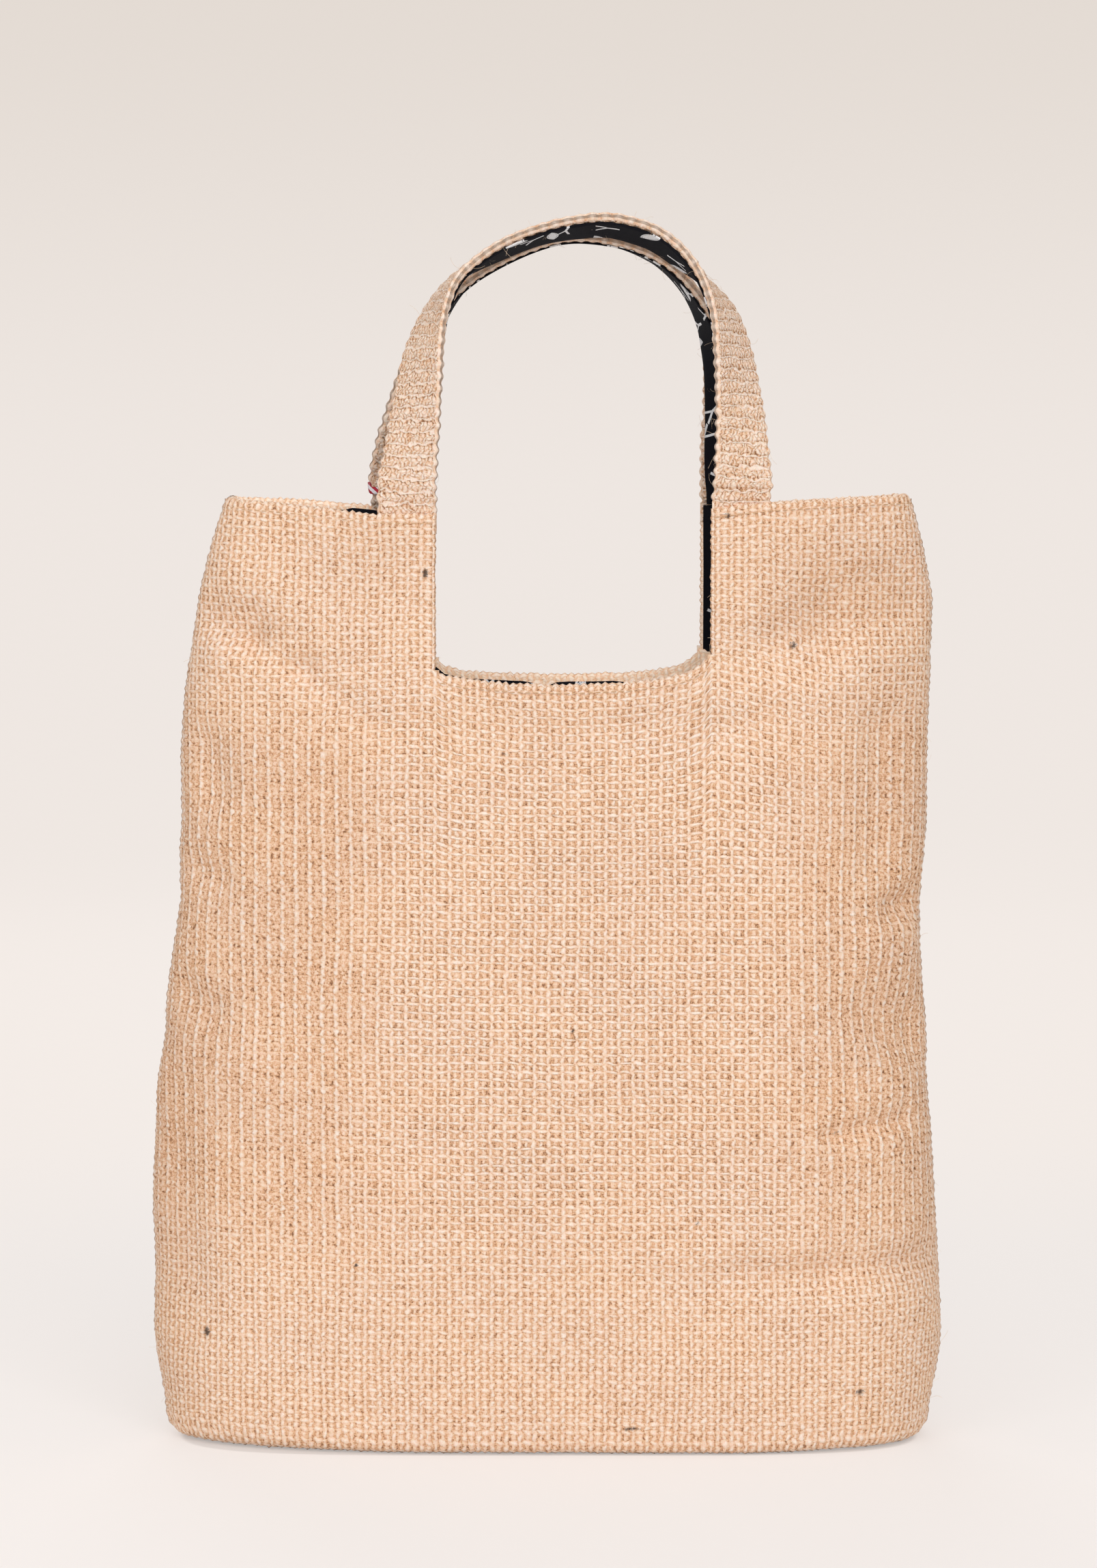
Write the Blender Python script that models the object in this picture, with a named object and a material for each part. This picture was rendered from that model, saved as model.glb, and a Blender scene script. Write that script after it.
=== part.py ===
"""Jute beach bag, standing open on its base.

Lengths are millimetres until a body is made, which turns them into metres.
x runs to the bag's right as seen from the front, y runs away from the viewer
and z is up. The origin is on the floor, near the middle of the base.
"""
import math

import bpy
import numpy as np

for thing in list(bpy.data.objects):
    bpy.data.objects.remove(thing, do_unlink=True)

# Sizes
MIDDLE_X = 11.5        # the line through the middle of the notch
JUTE = 2.6             # thickness of the woven jute
HEM_EXTRA = 2.5        # second layer of jute, folded inside along the rims
HEM = 11.5             # height of the folded hem
GAP = 0.3              # room left between two pieces
COTTON = 1.0           # thickness of the lining
ROLL = 12.0            # radius at which the walls turn under to the base
LIFT = 0.3             # the turned edge stays this far above the floor
LIFT_TURN = 1.5        # the turn, in radians, at which it is lifted fully
FADE = 22.0            # the creases fade out over this much at the seams and the base
FADE_START = 10.0      # height at which they begin
BASE_INSET = 2.0       # from the walls' turned edge to the base's own edge
STRAP_WIDTH = 29.5
STRAP_THICK = 4.6
TAIL_THICK = 2.2       # the strap's ends, pressed flat inside the hem
STRIP_WIDTH = 24.0     # the lining strip on the strap's inner side
STRIP_BACK = 3.35      # from the strap's middle to the strip's middle
STRAP_STATIONS = 50
FOOT_ROWS = [(1.5 - HEM, TAIL_THICK), (-0.8, TAIL_THICK),      # above the rim, thickness
             (0.8, STRAP_THICK), (4.0, STRAP_THICK)]
LINING_SHORT = 1.2     # the lining stops this far below the rims
LINING_BESIDE = 1.4    # and this far from the sides of the notch
BASE_ENDS = 7.0        # and the base this far from the seams

# The standing shape
# Across each height: the two sides, half the depth, and how square each side is
WALL = {
    "z":      [12, 26, 44, 61, 88, 123, 158, 185, 205, 228, 256, 275, 298, 316,
               350, 385, 405, 429, 455, 472, 484],
    "left":   [-195, -197, -200.5, -201.5, -200.5, -202, -200, -199, -195, -194,
               -190, -186.5, -187.5, -186, -186.5, -184, -180.5, -177, -171,
               -165.5, -161],
    "right":  [194, 196.5, 200, 200.5, 199, 197, 195, 192, 192.5, 190.5, 188.5,
               188.5, 190.5, 192, 192, 193, 193.5, 194.5, 189.5, 185, 181.5],
    "depth":  [60, 62, 62, 61, 60, 59, 58, 57, 56, 55, 54, 53, 52, 51, 49, 46.5,
               45, 43, 41, 40, 39],
    "square_left":  [3.0, 3.0, 3.0, 3.0, 3.0, 2.9, 2.8, 2.7, 2.6, 2.6, 2.5, 2.5,
                     2.4, 2.4, 2.3, 2.2, 2.2, 2.1, 2.0, 2.0, 2.0],
    "square_right": [4.6, 4.6, 4.6, 4.5, 4.4, 4.1, 3.8, 3.5, 3.3, 3.1, 3.0, 2.9,
                     2.8, 2.7, 2.5, 2.4, 2.3, 2.2, 2.1, 2.0, 2.0],
}

# Soft creases: from (x1, z1) to (x2, z2), half width, and how far out (+) or in (-)
FRONT_FOLDS = [
    (-178, 426, -150, 415, 11, -3.0), (-150, 415, -100, 398, 10, -2.6),
    (-160, 442, -118, 422, 11, 1.8), (-165, 399, -142, 401, 10, 1.6),
    (117, 415, 142, 430, 11, -3.0), (142, 430, 176, 447, 11, -3.2),
    (145, 382, 150, 372, 18, 2.0), (34, 358, 103, 362, 12, -1.0),
    (166, 363, 166, 297, 12, -3.6), (176, 273, 190, 276, 10, -4.0),
    (165, 254, 186, 255, 10, 2.0), (163, 222, 187, 213, 15, -3.6),
    (147, 158, 176, 165, 10, -2.6), (93, 94, 140, 91, 10, -2.4),
    (140, 91, 192, 96, 10, -2.8), (125, 76, 185, 74, 14, 1.8),
    (-174, 352, -171, 333, 12, -2.8), (-181, 292, -168, 288, 11, -2.8),
    (-186, 226, -174, 221, 12, -2.8), (-186, 178, -182, 62, 14, -2.6),
    (-153, 195, -148, 186, 17, 2.0), (-40, 250, -30, 200, 45, 1.5),
]
BACK_FOLDS = [
    (-170, 430, -120, 405, 12, -3.0), (170, 440, 128, 408, 12, -3.0),
    (60, 250, 150, 238, 13, -2.4), (-140, 170, -60, 182, 13, -2.2),
    (-176, 300, -172, 240, 14, -3.0), (178, 190, 174, 120, 14, -3.0),
    (-110, 90, -20, 84, 12, -2.0), (20, 330, 40, 300, 35, 1.8),
]

# Each panel: its cut-out in the rim, the ends of its strap and its rims, all measured
# along the cloth from the middle line
FRONT = {
    "sign": -1, "folds": FRONT_FOLDS,
    "notch": (-68.2, 69.9), "tails": (-98.2, 101.6),
    "rim": [(-195, 480), (-145, 476.5), (-110, 472.5), (-98, 471.2), (-68, 471),
            (70, 474), (102, 477.5), (145, 480), (195, 482)],
    "cut": [(-68.2, 394), (-65, 391.5), (-54, 389.4), (-28, 387), (0, 386.5),
            (24, 387.5), (45, 389.5), (58, 392.5), (66, 397), (69.9, 402)],
}
BACK = {
    "sign": 1, "folds": BACK_FOLDS,
    "notch": (-70.2, 67.4), "tails": (-104.6, 97.4),
    "rim": [(-195, 480.5), (-145, 479), (-110, 476.5), (-100, 475.5), (-70, 475),
            (67, 475), (97, 477), (145, 479.5), (195, 482)],
    "cut": [(-70.2, 398), (-66, 393), (-55, 390.2), (-28, 389), (0, 388.6),
            (24, 389.3), (45, 391), (58, 394), (65, 399), (67.4, 404)],
}

# The straps' paths. The front strap is followed along its inner edge, which is the
# near edge at the top; the back strap along its outer edge, also the near one there.
# turn: 0 when the strap faces straight ahead, 90 when its edge does
FRONT_STRAP = [  # x, y, z, turn
    (-56.6, -33.6, 486, 12), (-55.8, -32.8, 496, 20), (-54.9, -31.4, 514, 30),
    (-53.9, -29.5, 536, 41), (-53.1, -27.8, 556, 52), (-50.8, -26.2, 574, 68),
    (-44.0, -25.0, 590.5, 84), (-26.1, -24.0, 605.4, 97), (-7.0, -24.0, 613.7, 99),
    (11.8, -24.0, 618.5, 102), (30.6, -24.0, 620.2, 104), (49.4, -24.0, 616.0, 105),
    (60.2, -24.0, 610.3, 104), (69.4, -24.2, 601.5, 100), (76.2, -25.0, 590.5, 86),
    (81.2, -26.4, 576, 68), (83.2, -27.6, 560, 55), (84.0, -29.4, 538, 43),
    (84.0, -31.0, 516, 31), (83.4, -32.8, 498, 20), (83.0, -33.6, 488, 12),
]
BACK_STRAP = [  # x, y, z, turn
    (-92.0, 30.0, 489, 11), (-90.0, 24.6, 502, 21), (-85.4, 18.6, 517, 34),
    (-78.0, 13.6, 538, 47), (-70.0, 9.8, 556, 60), (-60.4, 7.4, 571, 73),
    (-46.6, 6.6, 584.4, 85), (-32.4, 6.5, 594.6, 90), (-13.0, 6.5, 604.4, 91),
    (5.0, 6.5, 610.2, 92), (21.0, 6.5, 611.0, 91), (40.3, 6.5, 607.8, 89),
    (57.8, 6.5, 600.2, 86), (71.6, 6.6, 588.6, 83), (81.4, 7.0, 576.0, 79),
    (88.8, 7.6, 562.5, 71), (95.4, 9.6, 545, 61), (100.2, 13.2, 528, 48),
    (103.6, 18.6, 509, 33), (106.6, 27.6, 490, 13),
]

# The tie wound round the back strap's left foot
TIE_SHARES = (0.12, 0.86)      # from one of the strap's stations to the next
TIE_WIDTH = STRAP_WIDTH + 1.6
TIE_NEAR = 3.0                 # from the strap's middle to the tie's inside, facing out
TIE_FAR = 4.6                  # the same on the bag's side
TIE_THICK = 1.3
TIE_CORNER = 0.5

# A panel's grid: columns from seam to seam, rows from the turned edge to the rim
SEAM_SHARES = [0, 0.22, 0.42, 0.6, 0.76, 0.89, 1.0]    # from past a strap's foot to the seam
NOTCH_STEPS = [0, 2, 8, 20]    # from a side of the notch inward
NOTCH_INSIDE = [-24, 0, 24]
FOOT_COLUMNS = 3               # from a side of the notch to just past a strap's foot
PAST_FOOT = 2.0
TURN_ROWS = 3
OPEN_ROWS = 3                  # beside the notch, up to the hem
HEM_ROWS = [13.5, HEM, 0]      # below a rim
HEM_START = 16.0
FIRST = len(SEAM_SHARES) - 1 + FOOT_COLUMNS            # the notch's first and last columns
LAST = FIRST + 2 * len(NOTCH_STEPS) + len(NOTCH_INSIDE) - 1
COLUMNS = LAST + FIRST

# Colour and roughness of each material
MATERIALS = {
    "jute": ((0.80, 0.58, 0.42), 0.95),
    "dark_cotton": ((0.010, 0.010, 0.014), 0.85),
    "striped_tape": ((0.55, 0.10, 0.09), 0.80),
}

# Curves and the wall
HEIGHTS = np.arange(0.0, 501.0, 2.0)


def smoothed(values):
    """A table's values at every height, with the corners between rows rounded off."""
    line = np.interp(HEIGHTS, WALL["z"], values)
    for _ in range(16):
        padded = np.concatenate([[line[0]], line, [line[-1]]])
        line = (padded[:-2] + 2 * padded[1:-1] + padded[2:]) / 4
    return line


LEFT, RIGHT, DEPTH = (smoothed(WALL[name]) for name in ("left", "right", "depth"))
SQUARE = {-1: smoothed(WALL["square_left"]), 1: smoothed(WALL["square_right"])}
HALF = {-1: MIDDLE_X - LEFT, 1: RIGHT - MIDDLE_X}


def arc_tables(side):
    """For each height, the length from the middle to the seam and the angle on the way."""
    angle = np.linspace(0, math.pi / 2, 241)
    even = np.linspace(0, 1, 121)
    lengths, angles = [], []
    for half, depth, square in zip(HALF[side], DEPTH, SQUARE[side]):
        x = half * np.sin(angle)
        y = depth * np.sqrt(np.clip(1 - np.sin(angle) ** square, 0, 1))
        run = np.concatenate([[0], np.cumsum(np.hypot(np.diff(x), np.diff(y)))])
        lengths.append(run[-1])
        angles.append(np.interp(even, run / run[-1], angle))
    return np.array(lengths), np.array(angles)


ARC = {side: arc_tables(side) for side in (-1, 1)}


def seam_length(side, z):
    """Length along the cloth from the middle line to a side seam, less half the gap."""
    return np.interp(z, HEIGHTS, ARC[side][0]) - GAP / 2


def wall(s, z, sign):
    """Place and outward direction of the wall at s along the cloth and height z."""
    place, out = np.zeros((2,) + np.shape(s) + (3,))
    level = np.clip(z / 2.0, 0, len(HEIGHTS) - 1.001)
    low, part = level.astype(int), level % 1.0
    for side in (-1, 1):
        here = (s < 0) if side < 0 else (s >= 0)
        length, angles = ARC[side]
        share = np.clip(np.abs(s) / np.interp(z, HEIGHTS, length), 0, 1) * 120
        at = np.clip(share.astype(int), 0, 119)
        over = share - at
        rows = [angles[low + k, at] * (1 - over) + angles[low + k, at + 1] * over
                for k in (0, 1)]
        angle = rows[0] * (1 - part) + rows[1] * part
        half, depth, square = (np.interp(z, HEIGHTS, line)
                               for line in (HALF[side], DEPTH, SQUARE[side]))
        t = np.clip(np.sin(angle), 0, 1)
        deep = np.sqrt(np.clip(1 - t ** square, 0, 1))
        nx, ny = square * t ** (square - 1) / half, 2 * deep / depth
        size = np.hypot(nx, ny)
        for target, parts in ((place, (MIDDLE_X + side * half * t, sign * depth * deep, z)),
                              (out, (side * nx / size, sign * ny / size, 0 * z))):
            for axis in range(3):
                target[..., axis] = np.where(here, parts[axis], target[..., axis])
    return place, out


def ease(value):
    value = np.clip(value, 0, 1)
    return value * value * (3 - 2 * value)


def creases(place, s, z, folds):
    """How far the soft creases push the cloth out, fading at the seams and the base."""
    push = np.zeros(np.shape(s))
    for x1, z1, x2, z2, width, far in folds:
        along = np.array([x2 - x1, z2 - z1], float)
        share = ((place[..., 0] - x1) * along[0] + (z - z1) * along[1]) / (along @ along)
        share = np.clip(share, 0, 1)
        away = np.hypot(place[..., 0] - x1 - share * along[0], z - z1 - share * along[1])
        push += far * np.exp(-(away / width) ** 2)
    side = np.where(s < 0, seam_length(-1, z), seam_length(1, z)) - np.abs(s)
    return push * ease(side / FADE) * ease((z - FADE_START) / FADE)


def cloth(s, h, panel, inward):
    """A point of a panel at s across and row height h, inward from its outer face."""
    s, h = np.broadcast_arrays(np.asarray(s, float), np.asarray(h, float))
    z = np.maximum(h, ROLL)
    place, out = wall(s, z, panel["sign"])
    place = place + out * creases(place, s, z, panel["folds"])[..., None]
    turn = (ROLL - np.minimum(h, ROLL)) / ROLL * math.pi / 2
    place = place - out * (ROLL * (1 - np.cos(turn)))[..., None]
    place[..., 2] += LIFT * ease(turn / LIFT_TURN) - ROLL * np.sin(turn)
    facing = out * np.cos(turn)[..., None]
    facing[..., 2] -= np.sin(turn)
    return place - facing * np.asarray(inward)[..., None]


# Making bodies
def material(name):
    """A plain material, made when a body first needs it."""
    if name not in bpy.data.materials:
        colour, roughness = MATERIALS[name]
        made = bpy.data.materials.new(name)
        made.use_nodes = True
        shader = made.node_tree.nodes["Principled BSDF"]
        shader.inputs["Base Color"].default_value = (*colour, 1)
        shader.inputs["Roughness"].default_value = roughness
    return bpy.data.materials[name]


def body(name, points, faces):
    mesh = bpy.data.meshes.new(name)
    mesh.from_pydata((np.asarray(points) * 0.001).tolist(), [], faces)
    mesh.shade_smooth()
    mesh.set_sharp_from_angle(angle=math.radians(40))
    kind = "dark_cotton" if name.endswith("_lining") else "jute"
    mesh.materials.append(material("striped_tape" if name == "striped_tie" else kind))
    thing = bpy.data.objects.new(name, mesh)
    bpy.context.scene.collection.objects.link(thing)
    return thing


def sheet(name, outer, inner, cells):
    """A closed sheet between two grids of points that share the same cells."""
    points = np.concatenate([outer, inner])
    count = len(outer)
    used = sorted({index for cell in cells for index in cell})
    fresh = {old: new for new, old in enumerate(used)}
    half = len(used)
    faces, edges = [], {}
    for cell in cells:
        ring = [fresh[index] for index in cell]
        for corner in ((0, 1, 2), (0, 2, 3)):      # the same diagonal in every layer
            faces.append([ring[k] for k in corner])
            faces.append([ring[k] + half for k in reversed(corner)])
        for one, two in zip(ring, ring[1:] + ring[:1]):
            edges[(one, two)] = True
    for one, two in edges:
        if (two, one) not in edges:
            faces.append([two, one, one + half, two + half])
    keep = used + [index + count for index in used]
    return body(name, points[keep], faces)


def rim_height(panel, along):
    return float(np.interp(along, *zip(*panel["rim"])))


def row_height(panel, near, row, wall_rows):
    """Height of a grid row, beside the place near along the notch."""
    cut = float(np.interp(near, *zip(*panel["cut"])))
    top = rim_height(panel, near)
    if row <= TURN_ROWS:
        return ROLL * row / TURN_ROWS
    row -= TURN_ROWS
    if row <= wall_rows:
        return ROLL + (cut - HEM_START - ROLL) * row / wall_rows
    row -= wall_rows
    if row <= len(HEM_ROWS):
        return cut - HEM_ROWS[row - 1]
    row -= len(HEM_ROWS)
    if row <= OPEN_ROWS:
        return cut + (top - HEM_START - cut) * row / OPEN_ROWS
    return top - HEM_ROWS[row - OPEN_ROWS - 1]


def grid_of(panel, wall_rows):
    """Rows and columns of a panel: s and row height for each, and which cells exist."""
    low, high = panel["notch"]
    notch = [low + step for step in NOTCH_STEPS] + NOTCH_INSIDE
    notch += [high - step for step in reversed(NOTCH_STEPS)]
    mid_row = TURN_ROWS + wall_rows + len(HEM_ROWS)
    rows = mid_row + OPEN_ROWS + len(HEM_ROWS)
    s, h = np.zeros((2, rows + 1, COLUMNS + 1))
    for row in range(rows + 1):
        for col in range(COLUMNS + 1):
            near = along = notch[min(max(col - FIRST, 0), LAST - FIRST)]
            height = row_height(panel, near, row, wall_rows)
            if not FIRST <= col <= LAST:
                side = -1 if col < FIRST else 1
                tail = panel["tails"][0 if side < 0 else 1]
                start = tail + side * PAST_FOOT
                count = FIRST - col if side < 0 else col - LAST
                if count <= FOOT_COLUMNS:
                    along = (near + (tail - near) * 0.5, tail, start)[count - 1]
                else:
                    end = side * float(seam_length(side, max(height, ROLL)))
                    along = start + (end - start) * SEAM_SHARES[count - FOOT_COLUMNS]
                rise = rim_height(panel, along) - rim_height(panel, near)
                share = max(0.0, (row - mid_row) / (rows - mid_row))
                height += rise * min(1.0, share * 1.4)
            s[row, col], h[row, col] = along, height
    cells = []
    for row in range(rows):
        for col in range(COLUMNS):
            if row >= mid_row and FIRST <= col < LAST:
                continue
            a = row * (COLUMNS + 1) + col
            cell = [a, a + 1, a + COLUMNS + 2, a + COLUMNS + 1]
            cells.append(cell if panel["sign"] < 0 else cell[::-1])
    return s, h, cells, mid_row


def layer_depths(s, mid_row):
    """How thick the jute is at each grid point, and how much room the lining leaves."""
    jute = np.full(s.shape, JUTE)
    room = np.full(s.shape, JUTE)
    top_row = len(s) - 1
    for row in range(len(s)):
        for col in range(COLUMNS + 1):
            under_cut = row in (mid_row - 1, mid_row) and FIRST < col < LAST
            under_rim = row in (top_row - 1, top_row)
            past_foot = col <= FIRST - FOOT_COLUMNS or col >= LAST + FOOT_COLUMNS
            if under_cut or (under_rim and past_foot):
                jute[row, col] += HEM_EXTRA
            by_cut = mid_row - 2 <= row <= mid_row and FIRST <= col <= LAST
            by_rim = row >= top_row - 2 and not FIRST < col < LAST
            if by_cut or by_rim:
                room[row, col] += HEM_EXTRA
    return jute, room


def panel_and_lining(name, panel, wall_rows):
    s, h, cells, mid_row = grid_of(panel, wall_rows)
    jute, room = layer_depths(s, mid_row)
    outer = cloth(s, h, panel, np.zeros(s.shape))
    inner = cloth(s, h, panel, jute)
    sheet(name + "_panel", outer.reshape(-1, 3), inner.reshape(-1, 3), cells)
    s, h = s.copy(), h.copy()
    h[-1, :] -= LINING_SHORT
    h[mid_row, FIRST:LAST + 1] -= LINING_SHORT
    s[mid_row + 1:, FIRST] -= LINING_BESIDE
    s[mid_row + 1:, LAST] += LINING_BESIDE
    near = cloth(s, h, panel, room + GAP)
    far = cloth(s, h, panel, room + GAP + COTTON)
    sheet(name + "_lining", near.reshape(-1, 3), far.reshape(-1, 3), cells)


def base_sheet(name, z, thick, shares, across):
    """A flat sheet inside the walls' turned edges."""
    front, back = [], []
    for share in shares:
        for panel, line in ((FRONT, front), (BACK, back)):
            side = -1 if share < 0 else 1
            s = share * (seam_length(side, ROLL) - BASE_ENDS)
            line.append(cloth(s, 0.0, panel, 0.0)[:2])
            _, out = wall(np.array(s), np.array(ROLL), panel["sign"])
            line[-1] = line[-1] - out[:2] * BASE_INSET
    front, back = np.array(front), np.array(back)
    rows, columns = across + 1, len(shares)
    flat = [front + (back - front) * k / across for k in range(rows)]
    flat = np.array(flat).reshape(-1, 2)
    low = np.column_stack([flat, np.full(len(flat), z)])
    high = np.column_stack([flat, np.full(len(flat), z + thick)])
    cells = []
    for row in range(rows - 1):
        for col in range(columns - 1):
            a = row * columns + col
            cells.append([a, a + columns, a + columns + 1, a + 1])
    sheet(name, low, high, cells)


def spline(rows, count):
    """Even places along a smooth curve through the rows."""
    rows = np.array(rows, float)
    padded = np.vstack([2 * rows[0] - rows[1], rows, 2 * rows[-1] - rows[-2]])
    fine = []
    for k in range(1, len(rows)):
        a, b, c, d = padded[k - 1:k + 3]
        for t in np.linspace(0, 1, 24, endpoint=False):
            fine.append(0.5 * (2 * b + (c - a) * t + (2 * a - 5 * b + 4 * c - d) * t * t
                               + (3 * b - a - 3 * c + d) * t ** 3))
    fine = np.array(fine + [rows[-1]])
    run = np.concatenate([[0], np.cumsum(np.linalg.norm(np.diff(fine[:, :3], axis=0), axis=1))])
    even = np.linspace(0, run[-1], count)
    return np.column_stack([np.interp(even, run, fine[:, k]) for k in range(fine.shape[1])])


def strap_frames(panel, path, follows_inner, count=STRAP_STATIONS):
    """Middle line, width and face directions of a strap, from foot to foot."""
    sign = panel["sign"]
    even = spline(path, count)
    edge, turn = even[:, :3], np.radians(even[:, 3])
    along = np.gradient(edge, axis=0)
    along /= np.linalg.norm(along, axis=1)[:, None]
    outward = np.column_stack([-along[:, 2], 0 * turn, along[:, 0]])
    outward /= np.linalg.norm(outward, axis=1)[:, None]
    wide = np.cos(turn)[:, None] * outward + np.sin(turn)[:, None] * np.array([0, -sign, 0])
    wide -= along * np.sum(wide * along, axis=1)[:, None]
    wide /= np.linalg.norm(wide, axis=1)[:, None]
    middle = edge + wide * STRAP_WIDTH / 2 * (1 if follows_inner else -1)
    face = np.cross(along, wide) * (1 if sign < 0 else -1)
    # Each foot: tucked in behind the panel, then easing into the free strap
    feet = []
    for side in (-1, 1):
        inner = panel["notch"][0 if side < 0 else 1]
        outer = panel["tails"][0 if side < 0 else 1]
        rim = max(np.interp([inner, outer], *zip(*panel["rim"])))
        foot = []
        spare = (abs(outer - inner) - STRAP_WIDTH) * 0.5
        reach = (outer - side * spare - side * STRAP_WIDTH, outer - side * 0.4)
        for above, deep in FOOT_ROWS:
            ends = [cloth(s, rim + above, panel, JUTE + GAP + deep / 2) for s in reach]
            across = (ends[1] - ends[0]) / np.linalg.norm(ends[1] - ends[0])
            centre = (ends[0] + ends[1]) / 2
            up = np.array([0, 0, -float(side)])
            normal = np.cross(up, across) * (1 if sign < 0 else -1)
            foot.append((centre, across, normal))
        feet.append(foot if side < 0 else foot[::-1])
    stations = feet[0] + list(zip(middle, wide, face)) + feet[1]
    return stations


def ribbon(name, stations, width, thick, back, tail=None, skip=0, rounded=True):
    """A strap's body: a flat section with rounded edges, carried along the stations."""
    flats = [-0.93, -0.5, 0, 0.5, 0.93] if rounded else [-1, -0.5, 0, 0.5, 1]
    section = [(u, 1) for u in flats] + ([(1, 0)] if rounded else [])
    section += [(-u, -1) for u in flats] + ([(-1, 0)] if rounded else [])
    points, last = len(section), len(stations) - 1
    rings = []
    for index, (centre, wide, face) in enumerate(stations):
        if index < skip or index > last - skip:
            continue
        deep = thick
        if tail is not None and (index <= 1 or index >= last - 1):
            deep = tail
        rings.append([centre + wide * u * width / 2 + face * (v * deep / 2 - back)
                      for u, v in section])
    count = len(rings)
    faces = [list(range(points)), [(count - 1) * points + k for k in range(points)][::-1]]
    for row in range(count - 1):
        for k in range(points):
            a, b = row * points + k, row * points + (k + 1) % points
            if 2 * k < points:                 # diagonals lie the same way on both sides
                faces += [[b, a, a + points], [b, a + points, b + points]]
            else:
                faces += [[b, a, b + points], [a, a + points, b + points]]
    return body(name, np.array(rings).reshape(-1, 3), faces)


def facing_out(thing):
    """Turns a body's faces out, where its measured volume comes out negative."""
    mesh = thing.data
    total = 0.0
    for face in mesh.polygons:
        ring = [np.array(mesh.vertices[v].co) for v in face.vertices]
        for k in range(1, len(ring) - 1):
            total += np.dot(ring[0], np.cross(ring[k], ring[k + 1]))
    if total < 0:
        mesh.flip_normals()


def band(name, start, end):
    """A tape wound once round a strap, between two of its stations."""
    outer, inner = [], []
    for share in TIE_SHARES:
        centre, wide, face = (a + (b - a) * share for a, b in zip(start, end))
        for grow, store in ((TIE_THICK, outer), (0, inner)):
            u, cut = TIE_WIDTH / 2 + grow, TIE_CORNER + grow * 0.4
            top, low = TIE_NEAR + grow, -TIE_FAR - grow
            ring = [(u - cut, top), (u, top - cut), (u, low + cut), (u - cut, low),
                    (cut - u, low), (-u, low + cut), (-u, top - cut), (cut - u, top)]
            store += [centre + wide * x + face * y for x, y in ring]
    faces = []
    for k in range(8):
        n = (k + 1) % 8
        faces += [[k, n, n + 8, k + 8], [n + 16, k + 16, k + 24, n + 24],
                  [n, k, k + 16, n + 16], [k + 8, n + 8, n + 24, k + 24]]
    return body(name, np.array(outer + inner), faces)


# The pieces
panel_and_lining("front", FRONT, 17)
panel_and_lining("back", BACK, 12)

SHARES = [-1, -0.94, -0.86, -0.74, -0.6, -0.4, -0.2, 0, 0.2, 0.4, 0.6, 0.74, 0.86, 0.94, 1]
base_sheet("base_panel", 0.0, JUTE, SHARES, 4)
base_sheet("base_lining", JUTE + GAP, COTTON, SHARES, 4)

front_stations = strap_frames(FRONT, FRONT_STRAP, True)
back_stations = strap_frames(BACK, BACK_STRAP, False)
for label, stations in (("front", front_stations), ("back", back_stations)):
    ribbon(label + "_strap", stations, STRAP_WIDTH, STRAP_THICK, 0, TAIL_THICK)
    ribbon(label + "_strap_lining", stations, STRIP_WIDTH, COTTON, STRIP_BACK, skip=1,
           rounded=False)
band("striped_tie", back_stations[3], back_stations[4])

for piece in bpy.data.objects:
    facing_out(piece)
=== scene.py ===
# %% [markdown]
# # A beach bag of natural jute
#
# The bag stands open on its base. Its walls are a coarse weave of thick, hairy yarn, the rim has
# a cut-out under two short woven straps, and a dark printed cotton lines the inside.
#
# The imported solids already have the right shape, but their walls are plain. This lesson dresses
# them: it works out the same standing surfaces again, weaves yarn-sized relief into them, turns
# the hems over, and then adds the lining, the stitches and the stray fibres.

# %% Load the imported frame
import math

import bmesh
import bpy
import numpy as np
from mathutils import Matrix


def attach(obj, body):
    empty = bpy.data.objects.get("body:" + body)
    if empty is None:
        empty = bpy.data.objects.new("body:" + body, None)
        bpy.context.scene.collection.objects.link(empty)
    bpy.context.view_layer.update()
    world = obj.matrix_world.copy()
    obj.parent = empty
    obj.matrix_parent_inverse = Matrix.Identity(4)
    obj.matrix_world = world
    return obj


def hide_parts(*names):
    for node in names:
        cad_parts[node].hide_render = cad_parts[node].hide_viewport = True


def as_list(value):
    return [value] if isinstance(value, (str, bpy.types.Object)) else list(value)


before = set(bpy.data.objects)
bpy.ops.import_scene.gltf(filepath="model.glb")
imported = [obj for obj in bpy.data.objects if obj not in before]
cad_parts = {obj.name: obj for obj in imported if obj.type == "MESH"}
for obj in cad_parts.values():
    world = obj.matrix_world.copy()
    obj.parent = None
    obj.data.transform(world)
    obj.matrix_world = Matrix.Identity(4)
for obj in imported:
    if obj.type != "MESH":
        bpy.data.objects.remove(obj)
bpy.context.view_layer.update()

# %% [markdown]
# ## The camera first
#
# The photograph looks at the bag from a little above its rim, through a long lens, so upright
# edges stay upright. A camera 2.3 m away with a lens of about 104 mm gives the same picture.
# The sensor's 36 mm lie along the long side of the frame, which is its height here.

# %% Place the camera
CAMERA_PLACE = (0.0, -2.300, 0.470)
CAMERA_PITCH = math.radians(86.615)
LENS = 103.86


def make_camera():
    camera = bpy.data.objects.new("camera", bpy.data.cameras.new("camera"))
    camera.data.lens = LENS
    camera.data.sensor_width = 36
    camera.location = CAMERA_PLACE
    camera.rotation_euler = (CAMERA_PITCH, 0, 0)
    bpy.context.scene.collection.objects.link(camera)
    bpy.context.scene.camera = camera


make_camera()
print("the camera stands", -CAMERA_PLACE[1], "m in front of the bag")

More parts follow.
